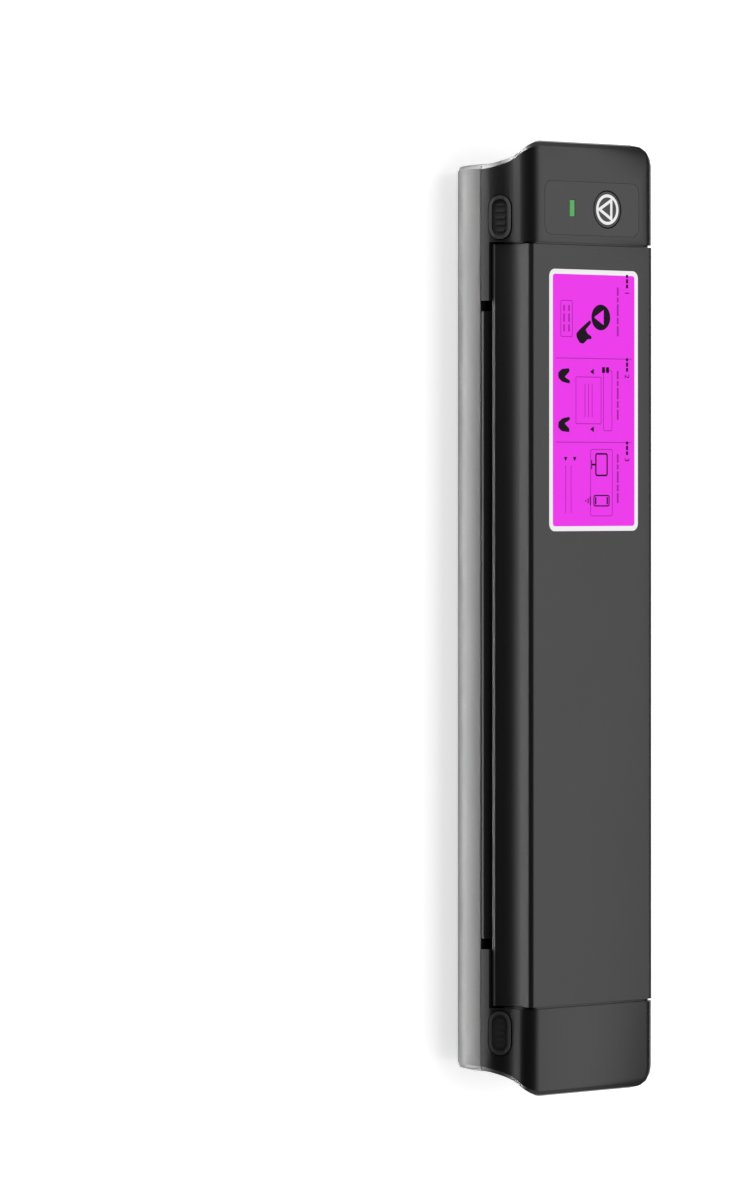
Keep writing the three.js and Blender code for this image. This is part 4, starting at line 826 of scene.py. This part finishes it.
def instruction_label():
    sheet = bmesh.new()
    shape(sheet, box_points(label_low, label_high), LABEL_CORNER, segments=6)
    thickened(sheet, label_low.z, FIELD_FOOT)
    white = printed_piece("label_sheet", sheet, white_film, "cover")
    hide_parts("instruction_label")
    field = bmesh.new()
    shape(field, box_points(FIELD_LOW, FIELD_HIGH), FIELD_CORNER, segments=5)
    thickened(field, FIELD_FOOT, PRINT_FOOT)
    printed_piece("label_field", field, magenta_film, "cover")
    black = bmesh.new()
    faint = bmesh.new()
    overprint = bmesh.new()
    for number in (1, 2, 3):
        panel_heading(black, faint, number)
    switch_on_panel(black, faint, overprint)
    paper_panel(black, faint)
    devices_panel(black, faint)
    for number in (1, 2):
        divider_x = FIELD_LOW[0] + PANEL_LENGTH * number
        bar(faint, divider_x, LABEL_MIDDLE, THIN_LINE, DIVIDER_LENGTH)
    for name, form, ink in (("label_print", black, black_ink), ("label_fine_print", faint, plum_ink)):
        thickened(form, PRINT_FOOT, PRINT_TOP)
        printed_piece(name, form, ink, "cover")
    thickened(overprint, PRINT_TOP, OVERPRINT_TOP)
    printed_piece("label_overprint", overprint, magenta_film, "cover")


def power_mark():
    """A ring on the key, and a triangle whose tips run under it."""
    key_low, key_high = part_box("power_button")
    x = (key_low.x + key_high.x) / 2
    y = (key_low.y + key_high.y) / 2
    round_mark = bmesh.new()
    ring(round_mark, x, y, RING_RADIUS, RING_LINE)
    thickened(round_mark, key_high.z - INK_RISE, key_high.z)
    printed_piece("power_ring", round_mark, white_ink, "power_key")
    start_mark = bmesh.new()
    corners = triangle_points(x, y, TRIANGLE_RADIUS, POINT_DOWN)
    hollow(start_mark, shape(start_mark, corners), TRIANGLE_LINE)
    thickened(start_mark, key_high.z - INK_RISE, key_high.z - INK_RISE / 2)
    printed_piece("power_triangle", start_mark, white_ink, "power_key")


instruction_label()
power_mark()


# Stage: a pale table, soft light, and black cards for the mirror rays
def background_rays(tree):
    """1 for rays that show the background: camera, mirror and glass rays."""
    path = tree.nodes.new("ShaderNodeLightPath")
    first = tree.nodes.new("ShaderNodeMath")
    first.operation = "MAXIMUM"
    second = tree.nodes.new("ShaderNodeMath")
    second.operation = "MAXIMUM"
    tree.links.new(path.outputs["Is Camera Ray"], first.inputs[0])
    tree.links.new(path.outputs["Is Glossy Ray"], first.inputs[1])
    tree.links.new(first.outputs[0], second.inputs[0])
    tree.links.new(path.outputs["Is Transmission Ray"], second.inputs[1])
    return second.outputs[0]


def white_world():
    world = bpy.data.worlds.new("white_room")
    bpy.context.scene.world = world
    world.use_nodes = True
    tree = world.node_tree
    background = tree.nodes["Background"]
    background.inputs["Color"].default_value = (1, 1, 1, 1)
    strength = tree.nodes.new("ShaderNodeMapRange")
    strength.inputs["To Min"].default_value = AMBIENT_LEVEL
    strength.inputs["To Max"].default_value = 1.0
    tree.links.new(background_rays(tree), strength.inputs["Value"])
    tree.links.new(strength.outputs["Result"], background.inputs["Strength"])


def table_material():
    """A pale matt table that glows a little for the rays that show the background."""
    tone = (TABLE_TONE, TABLE_TONE, TABLE_TONE)
    material, shader = new_material("pale_table", tone, roughness=0.7, specular=0.2)
    tree = material.node_tree
    shader.inputs["Emission Color"].default_value = (1, 1, 1, 1)
    glow = tree.nodes.new("ShaderNodeMapRange")
    glow.inputs["To Max"].default_value = TABLE_GLOW
    tree.links.new(background_rays(tree), glow.inputs["Value"])
    tree.links.new(glow.outputs["Result"], shader.inputs["Emission Strength"])
    return material


def pale_table():
    """The table takes the bar's shadow and lets the lamps under it through."""
    form = bmesh.new()
    bmesh.ops.create_grid(form, x_segments=1, y_segments=1, size=TABLE_HALF_SIDE)
    table = bpy.data.objects.new("pale_table", finished_mesh("pale_table", form, table_material()))
    bpy.context.scene.collection.objects.link(table)
    table.visible_shadow = False


def soft_lamp(name, place, target, size, radiance, glossy=True):
    """An area lamp of the given radiance, so that its level doesn't hang on its size."""
    data = bpy.data.lights.new(name, "AREA")
    data.shape = "RECTANGLE"
    data.size, data.size_y = size
    data.energy = radiance * math.pi * size[0] * size[1]
    lamp = bpy.data.objects.new(name, data)
    bpy.context.scene.collection.objects.link(lamp)
    lamp.visible_glossy = glossy
    lamp.visible_camera = False
    aim = Vector(target) - Vector(place)
    turn = aim.to_track_quat("-Z", "Y").to_matrix().to_4x4()
    lamp.matrix_world = Matrix.Translation(place) @ turn
    return lamp


def under_lamp(name, place, target, size, radiance):
    """A lamp whose light comes up through the table. Only sampled light passes there."""
    lamp = soft_lamp(name, place, target, size, radiance)
    lamp.data.cycles.use_multiple_importance_sampling = False


def black_card(name, line, way):
    """A black studio flag, a line of corners swept one way. Only mirror rays meet it."""
    form = bmesh.new()
    corners = [form.verts.new(corner) for corner in line]
    edges = [form.edges.new(pair) for pair in zip(corners, corners[1:])]
    sweep = bmesh.ops.extrude_edge_only(form, edges=edges)
    moved = [item for item in sweep["geom"] if isinstance(item, bmesh.types.BMVert)]
    bmesh.ops.translate(form, verts=moved, vec=way)
    cloth = new_material(name + "_cloth", (0, 0, 0), roughness=1.0, specular=0.0)[0]
    flag = bpy.data.objects.new(name, finished_mesh(name, form, cloth))
    bpy.context.scene.collection.objects.link(flag)
    flag.visible_camera = False
    flag.visible_diffuse = False
    flag.visible_shadow = False
    flag.visible_transmission = False


def front_flag():
    """From the table before the bar, up and over it."""
    profile = [
        (FRONT_FLAG_START, FLAG_RISE),
        (FRONT_FLAG_FOOT, FLAG_RISE),
        (FRONT_FLAG_WALL, FRONT_FLAG_WALL_FOOT),
        (FRONT_FLAG_WALL, FRONT_FLAG_WALL_TOP),
        (FRONT_FLAG_BEND, FRONT_FLAG_CEILING),
        (FRONT_FLAG_END, FRONT_FLAG_CEILING),
    ]
    line = [(-FRONT_FLAG_HALF_LENGTH, y, z) for y, z in profile]
    black_card("front_flag", line, (2 * FRONT_FLAG_HALF_LENGTH, 0, 0))


def rear_flags():
    """A low card behind the bar and one round each rear corner."""
    middle = [
        (-REAR_FLAG_HALF_LENGTH, REAR_FLAG_DISTANCE, FLAG_RISE),
        (REAR_FLAG_HALF_LENGTH, REAR_FLAG_DISTANCE, FLAG_RISE),
    ]
    black_card("rear_flag", middle, (0, 0, REAR_FLAG_HEIGHT))
    for name, end in (("left_flag", -1), ("right_flag", 1)):
        corner = [
            (end * REAR_FLAG_HALF_LENGTH, REAR_FLAG_DISTANCE, FLAG_RISE),
            (end * CORNER_FLAG_REACH, REAR_FLAG_DISTANCE, FLAG_RISE),
            (end * CORNER_FLAG_REACH, CORNER_FLAG_FRONT, FLAG_RISE),
        ]
        black_card(name, corner, (0, 0, CORNER_FLAG_HEIGHT))


def lamps():
    """Two soft boxes, one small lamp for the latch rims and two that shine up from below."""
    soft_lamp(
        "overhead_key",
        place=(0, 0.2, 1.8),
        target=BAR_TOP,
        size=(1.6, 1.2),
        radiance=2.1,
        glossy=False,
    )
    soft_lamp(
        "rear_softbox",
        place=(0, 1.3, 1.5),
        target=BAR_TOP,
        size=(1.8, 1.1),
        radiance=1.1,
    )
    under_lamp(
        "corner_light",
        place=(-0.253, -0.12, -0.047),
        target=(-0.15, -0.027, 0.033),
        size=(0.116, 0.116),
        radiance=14,
    )
    soft_lamp(
        "latch_light",
        place=(-0.56, -0.41, 0.11),
        target=(-0.13, -0.026, 0.026),
        size=(0.2, 0.16),
        radiance=5,
    )
    under_lamp(
        "table_light",
        place=(0, -0.06, -0.05),
        target=(0, -0.06, 0),
        size=(0.5, 0.06),
        radiance=4.6,
    )


bpy.context.scene.view_settings.view_transform = "Standard"
white_world()
pale_table()
front_flag()
rear_flags()
lamps()
